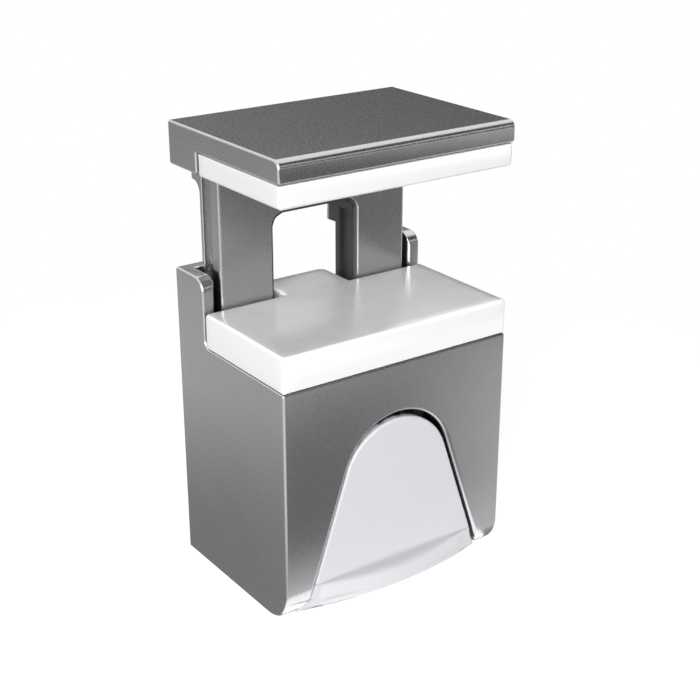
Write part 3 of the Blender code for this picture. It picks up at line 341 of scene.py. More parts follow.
def ranged(tree, value, low, high, start=0.0, end=1.0, smooth=False):
    """A value carried from one range to another and held at its ends."""
    node = add_node(tree, "ShaderNodeMapRange", {
        "Value": value, "From Min": low, "From Max": high, "To Min": start, "To Max": end,
    }, interpolation_type="SMOOTHSTEP" if smooth else "LINEAR")
    return node.outputs[0]


def mixed(tree, share, first, second):
    """A number between two others."""
    return add_node(tree, "ShaderNodeMix", {0: share, 2: first, 3: second}).outputs[0]


def mixed_colour(tree, mask, first, second):
    """A colour between two others."""
    return add_node(tree, "ShaderNodeMix", {0: mask, 6: first, 7: second}, data_type="RGBA").outputs[2]


def mixed_shader(tree, share, first, second):
    return add_node(tree, "ShaderNodeMixShader", {0: share, 1: first, 2: second}).outputs[0]


def split(tree, vector):
    """The three parts of a vector, by the names X, Y and Z."""
    return add_node(tree, "ShaderNodeSeparateXYZ", {"Vector": vector}).outputs


def tint(colour, share):
    return (*[min(1, share * part) for part in colour], 1)


def new_group(name, inputs, outputs):
    """An empty node group with named sockets: (group, its inputs, its output node)."""
    group = bpy.data.node_groups.new(name, "ShaderNodeTree")
    kinds = {"value": "NodeSocketFloat", "vector": "NodeSocketVector"}
    for label, kind, default in inputs:
        socket = group.interface.new_socket(label, in_out="INPUT", socket_type=kinds[kind])
        socket.default_value = default
    for label in outputs:
        group.interface.new_socket(label, in_out="OUTPUT", socket_type="NodeSocketFloat")
    return group, group.nodes.new("NodeGroupInput").outputs, group.nodes.new("NodeGroupOutput")


def use_group(tree, group, **inputs):
    """The outputs of a group placed in a tree. Inputs are named with an underscore for each space."""
    named = {name.replace("_", " "): value for name, value in inputs.items()}
    return add_node(tree, "ShaderNodeGroup", named, node_tree=group).outputs


# Shared effects

def grain_group():
    """Fine cast or moulded grain, for bump and gloss, and a slow mottle, for colour."""
    name = "Fine grain"
    if name in bpy.data.node_groups:
        return bpy.data.node_groups[name]
    group, given, out = new_group(
        name,
        [("Place", "vector", (0, 0, 0)), ("Grain size", "value", 0.0003), ("Mottle size", "value", 0.006)],
        ["Grain", "Mottle"],
    )
    for label, detail, roughness in (("Grain", 2.0, 0.6), ("Mottle", 3.0, 0.5)):
        scale = sums(group, "DIVIDE", 1.0, given[f"{label} size"])
        noise = add_node(group, "ShaderNodeTexNoise", {
            "Vector": given["Place"], "Scale": scale, "Detail": detail, "Roughness": roughness,
        })
        group.links.new(noise.outputs["Fac"], out.inputs[label])
    return group


def inner_group():
    """A mask that is 1 inside a box, for painted shade in hollows and gaps, and for raw metal's roughness."""
    name = "Inside box"
    if name in bpy.data.node_groups:
        return bpy.data.node_groups[name]
    group, given, out = new_group(
        name,
        [("Place", "vector", (0, 0, 0)), ("Middle", "vector", (0, 0, 0)), ("Half size", "vector", (1, 1, 1)),
         ("Softness", "value", 0.0002)],
        ["Mask"],
    )
    offset = add_node(group, "ShaderNodeVectorMath", {0: given["Place"], 1: given["Middle"]},
                      operation="SUBTRACT").outputs[0]
    size = add_node(group, "ShaderNodeVectorMath", {0: offset}, operation="ABSOLUTE").outputs[0]
    room = add_node(group, "ShaderNodeVectorMath", {0: given["Half size"], 1: size},
                    operation="SUBTRACT").outputs[0]
    parts = split(group, room)
    least = sums(group, "MINIMUM", sums(group, "MINIMUM", parts["X"], parts["Y"]), parts["Z"])
    group.links.new(ranged(group, least, 0.0, given["Softness"]), out.inputs["Mask"])
    return group


def weave_group():
    """A fine plain weave pressed into a pad: two sets of threads, one over the other."""
    name = "Pressed weave"
    if name in bpy.data.node_groups:
        return bpy.data.node_groups[name]
    group, given, out = new_group(
        name, [("Place", "vector", (0, 0, 0)), ("Pitch", "value", 0.0005)], ["Thread"],
    )
    scale = sums(group, "DIVIDE", math.pi, given["Pitch"])
    place = add_node(group, "ShaderNodeVectorMath", {0: given["Place"], "Scale": scale},
                     operation="SCALE").outputs[0]
    parts = split(group, place)
    waves = [sums(group, "ABSOLUTE", sums(group, "SINE", parts[axis])) for axis in "XY"]
    group.links.new(sums(group, "MULTIPLY", *waves), out.inputs["Thread"])
    return group


def crease_group():
    """A mask along the lever's crease, widest in the middle, where the moulding lies in its own shade."""
    name = "Crease shade"
    if name in bpy.data.node_groups:
        return bpy.data.node_groups[name]
    group, given, out = new_group(name, [("Place", "vector", (0, 0, 0))], ["Mask"])
    parts = split(group, given["Place"])
    across = sums(group, "DIVIDE", sums(group, "ABSOLUTE", parts["X"]), LIP_HALF)
    across = sums(group, "POWER", across, 2.0)
    height = sums(group, "MULTIPLY_ADD", across, LIP_RISE, LIP_CREASE)
    width = sums(group, "MULTIPLY_ADD", across, -CREASE_WIDTH, CREASE_WIDTH + CREASE_END)
    width = sums(group, "MAXIMUM", width, CREASE_END)
    away = sums(group, "ABSOLUTE", sums(group, "SUBTRACT", parts["Z"], height))
    away = sums(group, "DIVIDE", away, width)
    group.links.new(ranged(group, away, 0.0, 1.0, 1.0, 0.0, smooth=True), out.inputs["Mask"])
    return group


def box_mask(tree, place, box):
    """1 inside a box given by its lowest and highest corners."""
    low, high = box
    return use_group(tree, inner_group(), Place=place, Middle=(low + high) / 2,
                     Half_size=(high - low) / 2)["Mask"]


# Materials

def new_material(name, **constants):
    """A material, its Principled shader with these constants set, and its Object coordinates."""
    material = bpy.data.materials.new(name)
    material.use_nodes = True
    tree = material.node_tree
    shader = tree.nodes["Principled BSDF"]
    for socket, value in constants.items():
        shader.inputs[socket.replace("_", " ")].default_value = value
    place = add_node(tree, "ShaderNodeTexCoord").outputs["Object"]
    return material, shader, place


def finish_shader(tree, shader, base, gloss, height, relief, depth):
    """Links colour, roughness and a bump to the shader, and gives the bump's normal."""
    bump = add_node(tree, "ShaderNodeBump", {"Height": height, "Strength": relief, "Distance": depth})
    tree.links.new(base, shader.inputs["Base Color"])
    tree.links.new(gloss, shader.inputs["Roughness"])
    tree.links.new(bump.outputs["Normal"], shader.inputs["Normal"])
    return bump.outputs["Normal"]


def grained_surface(tree, place, colour, roughness, grain_size, finish):
    """The colour, roughness and relief of a grained surface."""
    grain = use_group(tree, grain_group(), Place=place, Grain_size=grain_size, Mottle_size=finish["mottle"])
    base = mixed_colour(tree, grain["Mottle"], *[tint(colour, share) for share in finish["shades"]])
    gloss = ranged(tree, grain["Grain"], *GRAIN_SPAN, *[roughness + part for part in finish["gloss"]])
    return base, gloss, grain["Grain"]


def metal_material(name, colour, roughness, grain_size, relief, raw_and_shaded_box=None):
    """Satin metal: fine grain in its relief and gloss, and inside a box painted shade, a darker colour, on
    dull raw metal.
    """
    material, shader, place = new_material(name, Metallic=1.0)
    tree = material.node_tree
    base, gloss, grain = grained_surface(tree, place, colour, roughness, grain_size, METAL)
    if raw_and_shaded_box:
        mask = box_mask(tree, place, raw_and_shaded_box)
        # Painted shade: a darker colour inside the box; the added roughness is the raw metal's
        base = mixed_colour(tree, mask, base, tint(colour, INSIDE_SHADE_TINT))
        gloss = sums(tree, "MULTIPLY_ADD", mask, RAW_DULLNESS, gloss, clamp=True)
    finish_shader(tree, shader, base, gloss, grain, relief, METAL["depth"])
    return material


def plastic_material(name, colour, roughness, relief, painted_shade_box=None):
    """Moulded plastic with a fine grain. With a box it gets painted shade: dark in the box, and darker along
    the lever's crease.
    """
    material, shader, place = new_material(name, Specular_IOR_Level=0.3)
    tree = material.node_tree
    base, gloss, grain = grained_surface(tree, place, colour, roughness, PLASTIC_GRAIN, PLASTIC)
    if painted_shade_box:
        # Painted shade: dark deep in the lever's gap, then darker along its crease
        base = mixed_colour(tree, box_mask(tree, place, painted_shade_box), base, tint(colour, GAP_SHADE_TINT))
        shade = use_group(tree, crease_group(), Place=place)["Mask"]
        base = mixed_colour(tree, shade, base, tint(colour, CREASE_SHADE_TINT))
    finish_shader(tree, shader, base, gloss, grain, relief, PLASTIC["depth"])
    return material


def pad_material(name, colour, pitch):
    """White elastomer with a woven upper and lower face and a glossy skin."""
    material, shader, place = new_material(name, Coat_Weight=1.0, Coat_IOR=1.9, Coat_Roughness=0.06, IOR=1.45)
    tree = material.node_tree
    thread = use_group(tree, weave_group(), Place=place, Pitch=pitch)["Thread"]
    mottle = use_group(tree, grain_group(), Place=place, Mottle_size=PAD["mottle"])["Mottle"]
    facing = add_node(tree, "ShaderNodeTexCoord").outputs["Normal"]
    level = sums(tree, "ABSOLUTE", split(tree, facing)["Z"])
    woven = ranged(tree, level, *WOVEN_SLOPE)
    plain = tint(colour, 1.0)
    threads = mixed_colour(tree, thread, tint(colour, PAD["thread"]), plain)
    face = mixed_colour(tree, woven, plain, threads)
    base = mixed_colour(tree, mottle, face, tint(colour, PAD["light"]))
    gloss = ranged(tree, thread, 0.0, 1.0, *PAD["roughness"])
    height = sums(tree, "MULTIPLY", thread, woven)
    normal = finish_shader(tree, shader, base, gloss, height, PAD_RELIEF, PAD["depth"])
    tree.links.new(normal, shader.inputs["Coat Normal"])
    return material


# Mesh helpers

def place_piece(name, mesh, body, node):
    """Puts a finished mesh in the scene on its body, in place of the node it stands for."""
    piece = bpy.data.objects.new(name, mesh)
    bpy.context.scene.collection.objects.link(piece)
    if body:
        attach(piece, body)
    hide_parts(node)
    return piece


def smooth_mesh(mesh):
    mesh.shade_smooth()
    mesh.set_sharp_from_angle(angle=SMOOTH_ANGLE)


def soft_step(value, low, high):
    """0 to 1 between two limits, eased at both."""
    share = min(1, max(0, (value - low) / (high - low)))
    return share * share * (3 - 2 * share)


def sculpt_lever(shape):
    """Gives the lever a crisp crease over its lip, and sets its face close behind the housing's front."""
    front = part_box("housing")[0].y
    face = front + LEVER_RECESS
    lip = [line for line in shape.edges
           if all(vert.co.y < front + LIP_SKIN and LIP_ZONE[0] < vert.co.z < LIP_ZONE[1]
                  for vert in line.verts)]
    bmesh.ops.subdivide_edges(shape, edges=lip, cuts=LIP_CUTS, use_grid_fill=True)
    for vert in shape.verts:
        x, y, z = vert.co
        if y > front + LEVER_SKIN:
            continue
        crease = LIP_CREASE + LIP_RISE * (x / LIP_HALF) ** 2
        ahead = (LEVER_FACE - LEVER_RECESS) * soft_step(z, crease - LIP_BLEND, crease)
        below = crease - z
        inside = soft_step(LIP_HALF - abs(x), 0, LIP_BLEND)
        if below > 0:
            bow = max(0, 1 - (x / LIP_HALF) ** 2) ** LIP_BOW
            step = LIP_STEP * (1 - math.exp(-below / LIP_SOFT))
            reach = bow * (step + LIP_BELLY * (below / LIP_DEPTH) ** 2)
            share = inside * (1 - soft_step(below, LIP_FADE * LIP_DEPTH, LIP_DEPTH))
            vert.co.y = (1 - share) * (y - ahead) + share * (face - reach)
        elif y < front + LEVER_FACE - NEAR:
            vert.co.y = (1 - inside) * (y - ahead) + inside * face
        else:
            vert.co.y -= ahead


def ease_edges(shape, width):
    """Bevels the outward sharp edges, after edges too short for it and flat seams are gone."""
    bmesh.ops.remove_doubles(shape, verts=shape.verts, dist=SHORTEST_EDGE)
    bmesh.ops.dissolve_limit(shape, angle_limit=FLAT_ANGLE, verts=shape.verts, edges=shape.edges)
    eased = [line for line in shape.edges if len(line.link_faces) == 2 and line.is_convex
             and line.calc_face_angle() > SHARP_ANGLE and line.calc_length() > width]
    bmesh.ops.bevel(shape, geom=eased, offset=width, segments=2, profile=0.5, affect="EDGES",
                    clamp_overlap=False)


def dress(node, name, body, material, edge=0.0, sculpt=None):
    """A welded copy of a CAD node with eased edges and clean smooth shading, which stands for it."""
    shape = bmesh.new()
    shape.from_mesh(frame["nodes"][node].data)
    bmesh.ops.remove_doubles(shape, verts=shape.verts, dist=NEAR)
    if edge:
        ease_edges(shape, edge)
    if sculpt:
        sculpt(shape)
    mesh = bpy.data.meshes.new(name)
    shape.to_mesh(mesh)
    shape.free()
    mesh.materials.append(material)
    smooth_mesh(mesh)
    piece = place_piece(name, mesh, body, node)
    weighted = piece.modifiers.new("even shading", "WEIGHTED_NORMAL")
    weighted.keep_sharp = True
    weighted.weight = SHADING_WEIGHT


def scratch(name, mesh):
    """An object that only lives until its modifiers are applied."""
    piece = bpy.data.objects.new(name, mesh)
    bpy.context.scene.collection.objects.link(piece)
    return piece


def applied(piece):
    """The piece's mesh with its modifiers applied; the piece itself is removed."""
    graph = bpy.context.evaluated_depsgraph_get()
    mesh = bpy.data.meshes.new_from_object(piece.evaluated_get(graph))
    rough = piece.data
    name = rough.name
    bpy.data.objects.remove(piece)
    bpy.data.meshes.remove(rough)
    mesh.name = name
    return mesh


def stations(step, *stops):
    """Places from stop to stop, evenly spaced between each two."""
    places = [stops[0]]
    for near, far in zip(stops, stops[1:]):
        pieces = max(1, round((far - near) / step))
        places += [near + (far - near) * k / pieces for k in range(1, pieces + 1)]
    return places


# Soft pads

def pad_block(low, high, tongue):
    """A gridded block over the pad's plan, with a tongue to the back between the arms where it has one."""
    shape = bmesh.new()
    half = tongue["half"] if tongue else 0
    root = tongue["root"] if tongue else high.y
    across = stations(PAD_CELL, low.x, -half, half, high.x) if tongue else stations(PAD_CELL, low.x, high.x)
    deep = stations(PAD_CELL, low.y, root, high.y) if tongue else stations(PAD_CELL, low.y, high.y)
    places = [(x, y) for x in across for y in deep if y < root + NEAR or abs(x) < half + NEAR]
    upper, lower = [{place: shape.verts.new((*place, z)) for place in places} for z in (high.z, low.z)]
    for left, right in zip(across, across[1:]):
        for near, far in zip(deep, deep[1:]):
            corners = [(left, near), (right, near), (right, far), (left, far)]
            if all(corner in upper for corner in corners):
                shape.faces.new([upper[corner] for corner in corners])
                shape.faces.new([lower[corner] for corner in reversed(corners)])
    under = {upper[place]: lower[place] for place in places}
    rim = [line.verts[:] for line in shape.edges if line.is_boundary and line.verts[0] in under]
    for first, second in rim:
        shape.faces.new((first, second, under[second], under[first]))
    bmesh.ops.recalc_face_normals(shape, faces=shape.faces)
    return shape


def pad_slab(low, high, held, tongue):
    """The block with its tongue's corners rounded and its edges weighted for their rounding."""
    shape = pad_block(low, high, tongue)
    if tongue:
        upright = [line for line in shape.edges
                   if all(high.y - vert.co.y < NEAR and abs(abs(vert.co.x) - tongue["half"]) < NEAR
                          for vert in line.verts)]
        bmesh.ops.bevel(shape, geom=upright, offset=tongue["round"], segments=ROUND_STEPS, profile=0.5,
                        affect="EDGES")
    weight = shape.edges.layers.float.new("bevel_weight_edge")
    for line in shape.edges:
        if line.calc_face_angle() > SHARP_ANGLE:
            line[weight] = HELD_SHARE if all(abs(vert.co.z - held) < NEAR for vert in line.verts) else 1.0
    return shape


def pad_mesh(name, low, high, edge, held, tongue=None):
    """A moulded pad: a crowned slab with rounded edges, sharper on its held side, and perhaps a tongue."""
    shape = pad_slab(low, high, held, tongue)
    mesh = bpy.data.meshes.new(name)
    shape.to_mesh(mesh)
    shape.free()

    piece = scratch(name, mesh)
    rounding = piece.modifiers.new("rounded edges", "BEVEL")
    rounding.width = edge
    rounding.segments = ROUND_STEPS
    rounding.limit_method = "WEIGHT"
    mesh = applied(piece)

    back = tongue["root"] if tongue else high.y
    half = Vector((high.x - low.x, back - low.y, high.z - low.z)) / 2
    middle = low + half
    for vert in mesh.vertices:
        across = min(1, abs(vert.co.x - middle.x) / half.x)
        deep = min(1, abs(vert.co.y - middle.y) / half.y)
        swell = PAD_CROWN * (1 - across * across) * (1 - deep * deep)
        vert.co.z += swell * (vert.co.z - middle.z) / half.z
    return mesh


def add_pegs(mesh, root, length):
    """Two round-edged pegs that hold the pad in its holes, from inside the pad to a length up or down."""
    low, high = sorted((root, root + length))
    inset = PEG_EDGE / math.cos(math.pi / PEG_SIDES)
    steps = [math.pi / 2 * k / PEG_STEPS for k in range(PEG_STEPS + 1)]
    profile = [(PEG_RADIUS - inset * (1 - math.sin(step)), low + PEG_EDGE * (1 - math.cos(step)))
               for step in steps]
    profile += [(radius, low + high - height) for radius, height in reversed(profile)]
    turns = [2 * math.pi * k / PEG_SIDES for k in range(PEG_SIDES)]
    shape = bmesh.new()
    shape.from_mesh(mesh)
    for side in (-1, 1):
        rings = [[shape.verts.new((side * PEG_SPREAD + radius * math.cos(turn),
                                   radius * math.sin(turn) - PEG_DEPTH, height)) for turn in turns]
                 for radius, height in profile]
        for near, far in zip(rings, rings[1:]):
            for k in range(PEG_SIDES):
                shape.faces.new((near[k - 1], near[k], far[k], far[k - 1]))
        shape.faces.new(rings[0][::-1])
        shape.faces.new(rings[-1])
    shape.to_mesh(mesh)
    shape.free()


# Coil springs

def coil_tree():
    """Geometry Nodes for a compression spring with a closed turn at each end."""
    name = "Compression spring"
    if name in bpy.data.node_groups:
        return bpy.data.node_groups[name]
    tree = bpy.data.node_groups.new(name, "GeometryNodeTree")
    sockets = (("Middle", "NodeSocketVector"), ("Radius", "NodeSocketFloat"), ("Wire", "NodeSocketFloat"),
               ("Turns", "NodeSocketFloat"), ("Height", "NodeSocketFloat"), ("Steel", "NodeSocketMaterial"))
    for label, kind in sockets:
        tree.interface.new_socket(label, in_out="INPUT", socket_type=kind)
    tree.interface.new_socket("Geometry", in_out="OUTPUT", socket_type="NodeSocketGeometry")
    given = tree.nodes.new("NodeGroupInput").outputs

    line = add_node(tree, "GeometryNodeCurvePrimitiveLine", {"End": (0, 0, 1)})
    count = sums(tree, "MULTIPLY", given["Turns"], COIL_POINTS)
    points = add_node(tree, "GeometryNodeResampleCurve", {"Curve": line.outputs[0], "Count": count})
    along = add_node(tree, "GeometryNodeSplineParameter").outputs["Factor"]
    turn = sums(tree, "MULTIPLY", along, given["Turns"])
    angle = sums(tree, "MULTIPLY", turn, 2 * math.pi)

    # The first and last turns climb by one wire each, and those between share the rest of the height
    first = sums(tree, "MINIMUM", turn, 1.0)
    last = sums(tree, "SUBTRACT", turn, sums(tree, "SUBTRACT", given["Turns"], 1.0))
    last = sums(tree, "MAXIMUM", last, 0.0)
    closed = sums(tree, "MULTIPLY", sums(tree, "ADD", first, last), given["Wire"])
    open_turns = sums(tree, "SUBTRACT", given["Turns"], 2.0)
    share = sums(tree, "DIVIDE", sums(tree, "SUBTRACT", turn, 1.0), open_turns, clamp=True)
    free = sums(tree, "MULTIPLY_ADD", given["Wire"], -3.0, given["Height"])
    half_wire = sums(tree, "MULTIPLY", given["Wire"], 0.5)
    rise = sums(tree, "ADD", sums(tree, "MULTIPLY_ADD", share, free, closed), half_wire)

    place = add_node(tree, "ShaderNodeCombineXYZ", {
        "X": sums(tree, "MULTIPLY", sums(tree, "COSINE", angle), given["Radius"]),
        "Y": sums(tree, "MULTIPLY", sums(tree, "SINE", angle), given["Radius"]),
        "Z": rise,
    })
    moved = add_node(tree, "ShaderNodeVectorMath", {0: place.outputs[0], 1: given["Middle"]}, operation="ADD")
    coil = add_node(tree, "GeometryNodeSetPosition", {
        "Geometry": points.outputs[0], "Position": moved.outputs[0],
    })
    section = add_node(tree, "GeometryNodeCurvePrimitiveCircle", {
        "Resolution": WIRE_SIDES, "Radius": half_wire,
    })
    wire = add_node(tree, "GeometryNodeCurveToMesh", {
        "Curve": coil.outputs[0], "Profile Curve": section.outputs[0], "Fill Caps": True,
    })
    whole = add_node(tree, "GeometryNodeRealizeInstances", {"Geometry": wire.outputs[0]})
    finish = add_node(tree, "GeometryNodeSetMaterial", {
        "Geometry": whole.outputs[0], "Material": given["Steel"],
    })
    out = tree.nodes.new("NodeGroupOutput")
    tree.links.new(finish.outputs[0], out.inputs[0])
    return tree


def coil_mesh(name, low, high, wire, turns, material):
    """A compression spring that fills a box."""
    piece = scratch(name, bpy.data.meshes.new(name))
    spin = piece.modifiers.new("coil", "NODES")
    spin.node_group = coil_tree()
    middle = (low + high) / 2
    values = {
        "Middle": (middle.x, middle.y, low.z), "Radius": (high.x - low.x - wire) / 2, "Wire": wire,
        "Turns": float(turns), "Height": high.z - low.z, "Steel": material,
    }
    for socket in spin.node_group.interface.items_tree:
        if socket.name in values:
            spin[socket.identifier] = values[socket.name]
    return applied(piece)


# Studio

def level_curve(tree, value, levels):
    """A level that follows a value along a smooth line through the given points."""
    least, most = levels[0][0], levels[-1][0]
    curve = add_node(tree, "ShaderNodeFloatCurve", {"Value": ranged(tree, value, least, most)})
    line = curve.mapping.curves[0]
    places = [((place - least) / (most - least), level / MOST_LEVEL) for place, level in levels]
    for point, place in zip(line.points, (places[0], places[-1])):
        point.location = place
    for place in places[1:-1]:
        line.points.new(*place)
    curve.mapping.update()
    return sums(tree, "MULTIPLY", curve.outputs[0], MOST_LEVEL)


def bearing_group(name, levels):
    """A level that changes with the bearing from straight ahead, as soft grey cards round a studio do."""
    group, given, out = new_group(name, [("Place", "vector", (0, 0, 0))], ["Level"])
    parts = split(group, given["Place"])
    ahead = sums(group, "MULTIPLY", parts["Y"], -1.0)
    degrees = sums(group, "DEGREES", sums(group, "ARCTAN2", parts["X"], ahead))
    group.links.new(level_curve(group, degrees, levels), out.inputs["Level"])
    return group


def ray_share(tree, *kinds):
    """1 for rays of these kinds."""
    path = add_node(tree, "ShaderNodeLightPath").outputs
    share = path[kinds[0]]
    for kind in kinds[1:]:
        share = sums(tree, "MAXIMUM", share, path[kind])
    return share


def seen_floor(tree, away):
    """What the camera sees: the lit floor near the object, lifted to white, and plain white further out."""
    camera = ray_share(tree, "Is Camera Ray")
    diffuse = add_node(tree, "ShaderNodeBsdfDiffuse", {"Color": FLOOR_COLOUR}).outputs[0]
    glow = add_node(tree, "ShaderNodeEmission", {"Strength": sums(tree, "MULTIPLY", camera, FLOOR_LIFT)})
    lit = add_node(tree, "ShaderNodeAddShader", {0: diffuse, 1: glow.outputs[0]}).outputs[0]
    white = add_node(tree, "ShaderNodeEmission", {"Strength": camera}).outputs[0]
    return mixed_shader(tree, ranged(tree, away, *FLOOR_FADE, smooth=True), lit, white)


def mirrored_floor(tree, place, away, front):
    """What mirrors see: grey cards in front and behind, and a bright strip at the object's foot."""
    card_place = add_node(tree, "ShaderNodeVectorMath", {0: place, 1: CARD_ORIGIN}, operation="SUBTRACT")
    parts = split(tree, place)
    ahead = use_group(tree, bearing_group("Floor cards", FLOOR_LEVELS), Place=card_place.outputs[0])["Level"]
    for zone, levels in ((MIDDLE_ZONE, MIDDLE_LEVELS), (FAR_ZONE, FAR_LEVELS)):
        beyond = level_curve(tree, parts["X"], levels)
        ahead = mixed(tree, ranged(tree, parts["Y"], *zone, smooth=True), beyond, ahead)
    foot = ranged(tree, parts["Y"], front - FOOT_ZONE[0], front - FOOT_ZONE[1], smooth=True)
    ahead = mixed(tree, foot, ahead, FOOT_LEVEL)
    back = level_curve(tree, away, BACK_LEVELS)
    behind = ranged(tree, parts["Y"], front - BACK_BLEND, front + BACK_BLEND, smooth=True)
    level = mixed(tree, behind, ahead, back)
    across = sums(tree, "COMPARE", parts["X"], STRIP_MIDDLE[0], STRIP_HALF[0])
    deep = sums(tree, "COMPARE", parts["Y"], front + STRIP_MIDDLE[1], STRIP_HALF[1])
    level = mixed(tree, sums(tree, "MULTIPLY", across, deep), level, MOST_LEVEL)
    return add_node(tree, "ShaderNodeEmission", {"Strength": level}).outputs[0]


def floor_material(front):
    """A pale floor that reads white and takes the object's shadow, clear from below."""
    material = bpy.data.materials.new("studio_floor")
    material.use_nodes = True
    tree = material.node_tree
    tree.nodes.clear()
    place = add_node(tree, "ShaderNodeTexCoord").outputs["Object"]
    away = add_node(tree, "ShaderNodeVectorMath", {0: place}, operation="LENGTH").outputs["Value"]
    mirror = ray_share(tree, "Is Glossy Ray", "Is Transmission Ray")
    above = mixed_shader(tree, mirror, seen_floor(tree, away), mirrored_floor(tree, place, away, front))
    under = add_node(tree, "ShaderNodeNewGeometry").outputs["Backfacing"]
    clear = add_node(tree, "ShaderNodeBsdfTransparent").outputs[0]
    out = add_node(tree, "ShaderNodeOutputMaterial")
    tree.links.new(mixed_shader(tree, under, above, clear), out.inputs["Surface"])
    return material


def mirrored_wall(tree, heading):
    """What mirrors see: cards low behind the object, high in front with a light strip, and a pale ceiling."""
    parts = split(tree, heading)
    cards = use_group(tree, bearing_group("Wall cards", WALL_LEVELS), Place=heading)["Level"]
    strip = sums(tree, "COMPARE", parts["Z"], LIGHT_STRIP["middle"], LIGHT_STRIP["half"])
    front = sums(tree, "LESS_THAN", parts["Y"], CARD_TURN[0])
    low_wall = mixed(tree, sums(tree, "MULTIPLY", strip, front), cards, LIGHT_STRIP["level"])
    top = ranged(tree, parts["Y"], *CARD_TURN, CARD_TOP["front"], CARD_TOP["back"])
    above = ranged(tree, parts["Z"], top, sums(tree, "ADD", top, CARD_TOP["soft"]), smooth=True)
    return mixed(tree, above, low_wall, CEILING_LEVEL)


def studio_world(room_light):
    """White to the camera, soft grey cards to mirror rays, and even room light to the rest."""
    world = bpy.data.worlds.new("studio")
    world.use_nodes = True
    tree = world.node_tree
    heading = add_node(tree, "ShaderNodeTexCoord").outputs["Generated"]
    room = ranged(tree, split(tree, heading)["Z"], 0.0, ROOM_HEIGHT, room_light, ROOM_TOP_SHARE * room_light)
    mirror = ray_share(tree, "Is Glossy Ray", "Is Transmission Ray")
    lit = mixed(tree, mirror, room, mirrored_wall(tree, heading))
    strength = mixed(tree, ray_share(tree, "Is Camera Ray"), lit, 1.0)
    background = tree.nodes["Background"]
    background.inputs["Color"].default_value = (1, 1, 1, 1)
    tree.links.new(strength, background.inputs["Strength"])
    return world


def add_floor(height, front):
    mesh = bpy.data.meshes.new("floor")
    corners = [(x * FLOOR_HALF, y * FLOOR_HALF, height) for x, y in ((-1, -1), (1, -1), (1, 1), (-1, 1))]
    mesh.from_pydata(corners, [], [(0, 1, 2, 3)])
    mesh.materials.append(floor_material(front))
    floor = bpy.data.objects.new("floor", mesh)
    bpy.context.scene.collection.objects.link(floor)
    floor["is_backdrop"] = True


def add_lamp(name, place, power):
    """A square soft lamp that points at the object."""
    data = bpy.data.lights.new(name, "AREA")
    data.size = LAMP_SIZE
    data.energy = power
    lamp = bpy.data.objects.new(name, data)
    lamp.location = place
    lamp.rotation_euler = (LAMP_AIM - place).to_track_quat("-Z", "Y").to_euler()
    bpy.context.scene.collection.objects.link(lamp)
    return lamp


def add_camera(stage):
    data = bpy.data.cameras.new("camera")
    data.lens = stage.lens
    data.sensor_width = 36
    data.clip_start, data.clip_end = 0.01, 100
    camera = bpy.data.objects.new("camera", data)
    level = math.cos(stage.elevation)
    back = Vector((math.sin(stage.azimuth) * level, -math.cos(stage.azimuth) * level,
                   math.sin(stage.elevation)))
    camera.location = Vector(stage.target) + back * stage.distance
    camera.rotation_euler = (-back).to_track_quat("-Z", "Y").to_euler()
    bpy.context.scene.collection.objects.link(camera)
    bpy.context.scene.camera = camera


# Operators

class SHELFSUPPORT_OT_housing(bpy.types.Operator):
    """Finish the cast housing"""

    bl_idname = "shelf_support.housing"
    bl_label = "Housing"

    def execute(self, context):
        metal = context.scene.shelf_support_metal
        low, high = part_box("housing")
        # Inside this box the cast metal gets painted shade and the raw metal's roughness
        inside = (low + Vector((SHADED_RAW_SIDE, SHADED_RAW_FRONT, SHADED_RAW_FLOOR)),
                  high - Vector((SHADED_RAW_SIDE, SHADED_RAW_BACK, SHADED_RAW_TOP)))
        cast = metal_material("satin_cast_metal", metal.cast_colour, metal.cast_roughness, metal.grain_size,
                              relief=0.5, raw_and_shaded_box=inside)
        dress("housing", "housing_casting", "housing", cast, metal.edge)
        return {"FINISHED"}


class SHELFSUPPORT_OT_jaw(bpy.types.Operator):
    """Finish the sliding jaw and its arms"""

    bl_idname = "shelf_support.jaw"
    bl_label = "Jaw and arms"

    def execute(self, context):
        metal = context.scene.shelf_support_metal
        low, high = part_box("slider_jaw")
        # Painted shade and the raw metal's roughness fill this box between the arms, behind the tongue's root
        side = ARM_INNER + GROOVE_ROOM
        inside = (Vector((-side, TONGUE["root"] + ARM_RIM, low.z - MM)),
                  Vector((side, high.y - SHADED_RAW_BACK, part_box("upper_pad")[0].z)))
        cast = metal_material("satin_jaw_metal", metal.cast_colour, metal.cast_roughness, metal.grain_size,
                              relief=0.3, raw_and_shaded_box=inside)
        dress("slider_jaw", "jaw_casting", "jaw", cast, metal.edge)
        return {"FINISHED"}


class SHELFSUPPORT_OT_lever(bpy.types.Operator):
    """Finish the moulded release lever"""

    bl_idname = "shelf_support.lever"
    bl_label = "Release lever"

    def execute(self, context):
        lever = context.scene.shelf_support_lever
        low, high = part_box("release_lever")
        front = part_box("housing")[0].y
        # Painted shade fills this box: the lever deep behind the housing's front, above its crease
        inside = (Vector((low.x - SHADE_MARGIN.x, front + LEVER_SHADE_DEPTH, LIP_CREASE + SHADE_OVER_CREASE)),
                  high + SHADE_MARGIN)
        plastic = plastic_material("pale_lever_plastic", lever.colour, lever.roughness, relief=0.3,
                                   painted_shade_box=inside)
        dress("release_lever", "lever_moulding", "lever", plastic, sculpt=sculpt_lever)
        return {"FINISHED"}


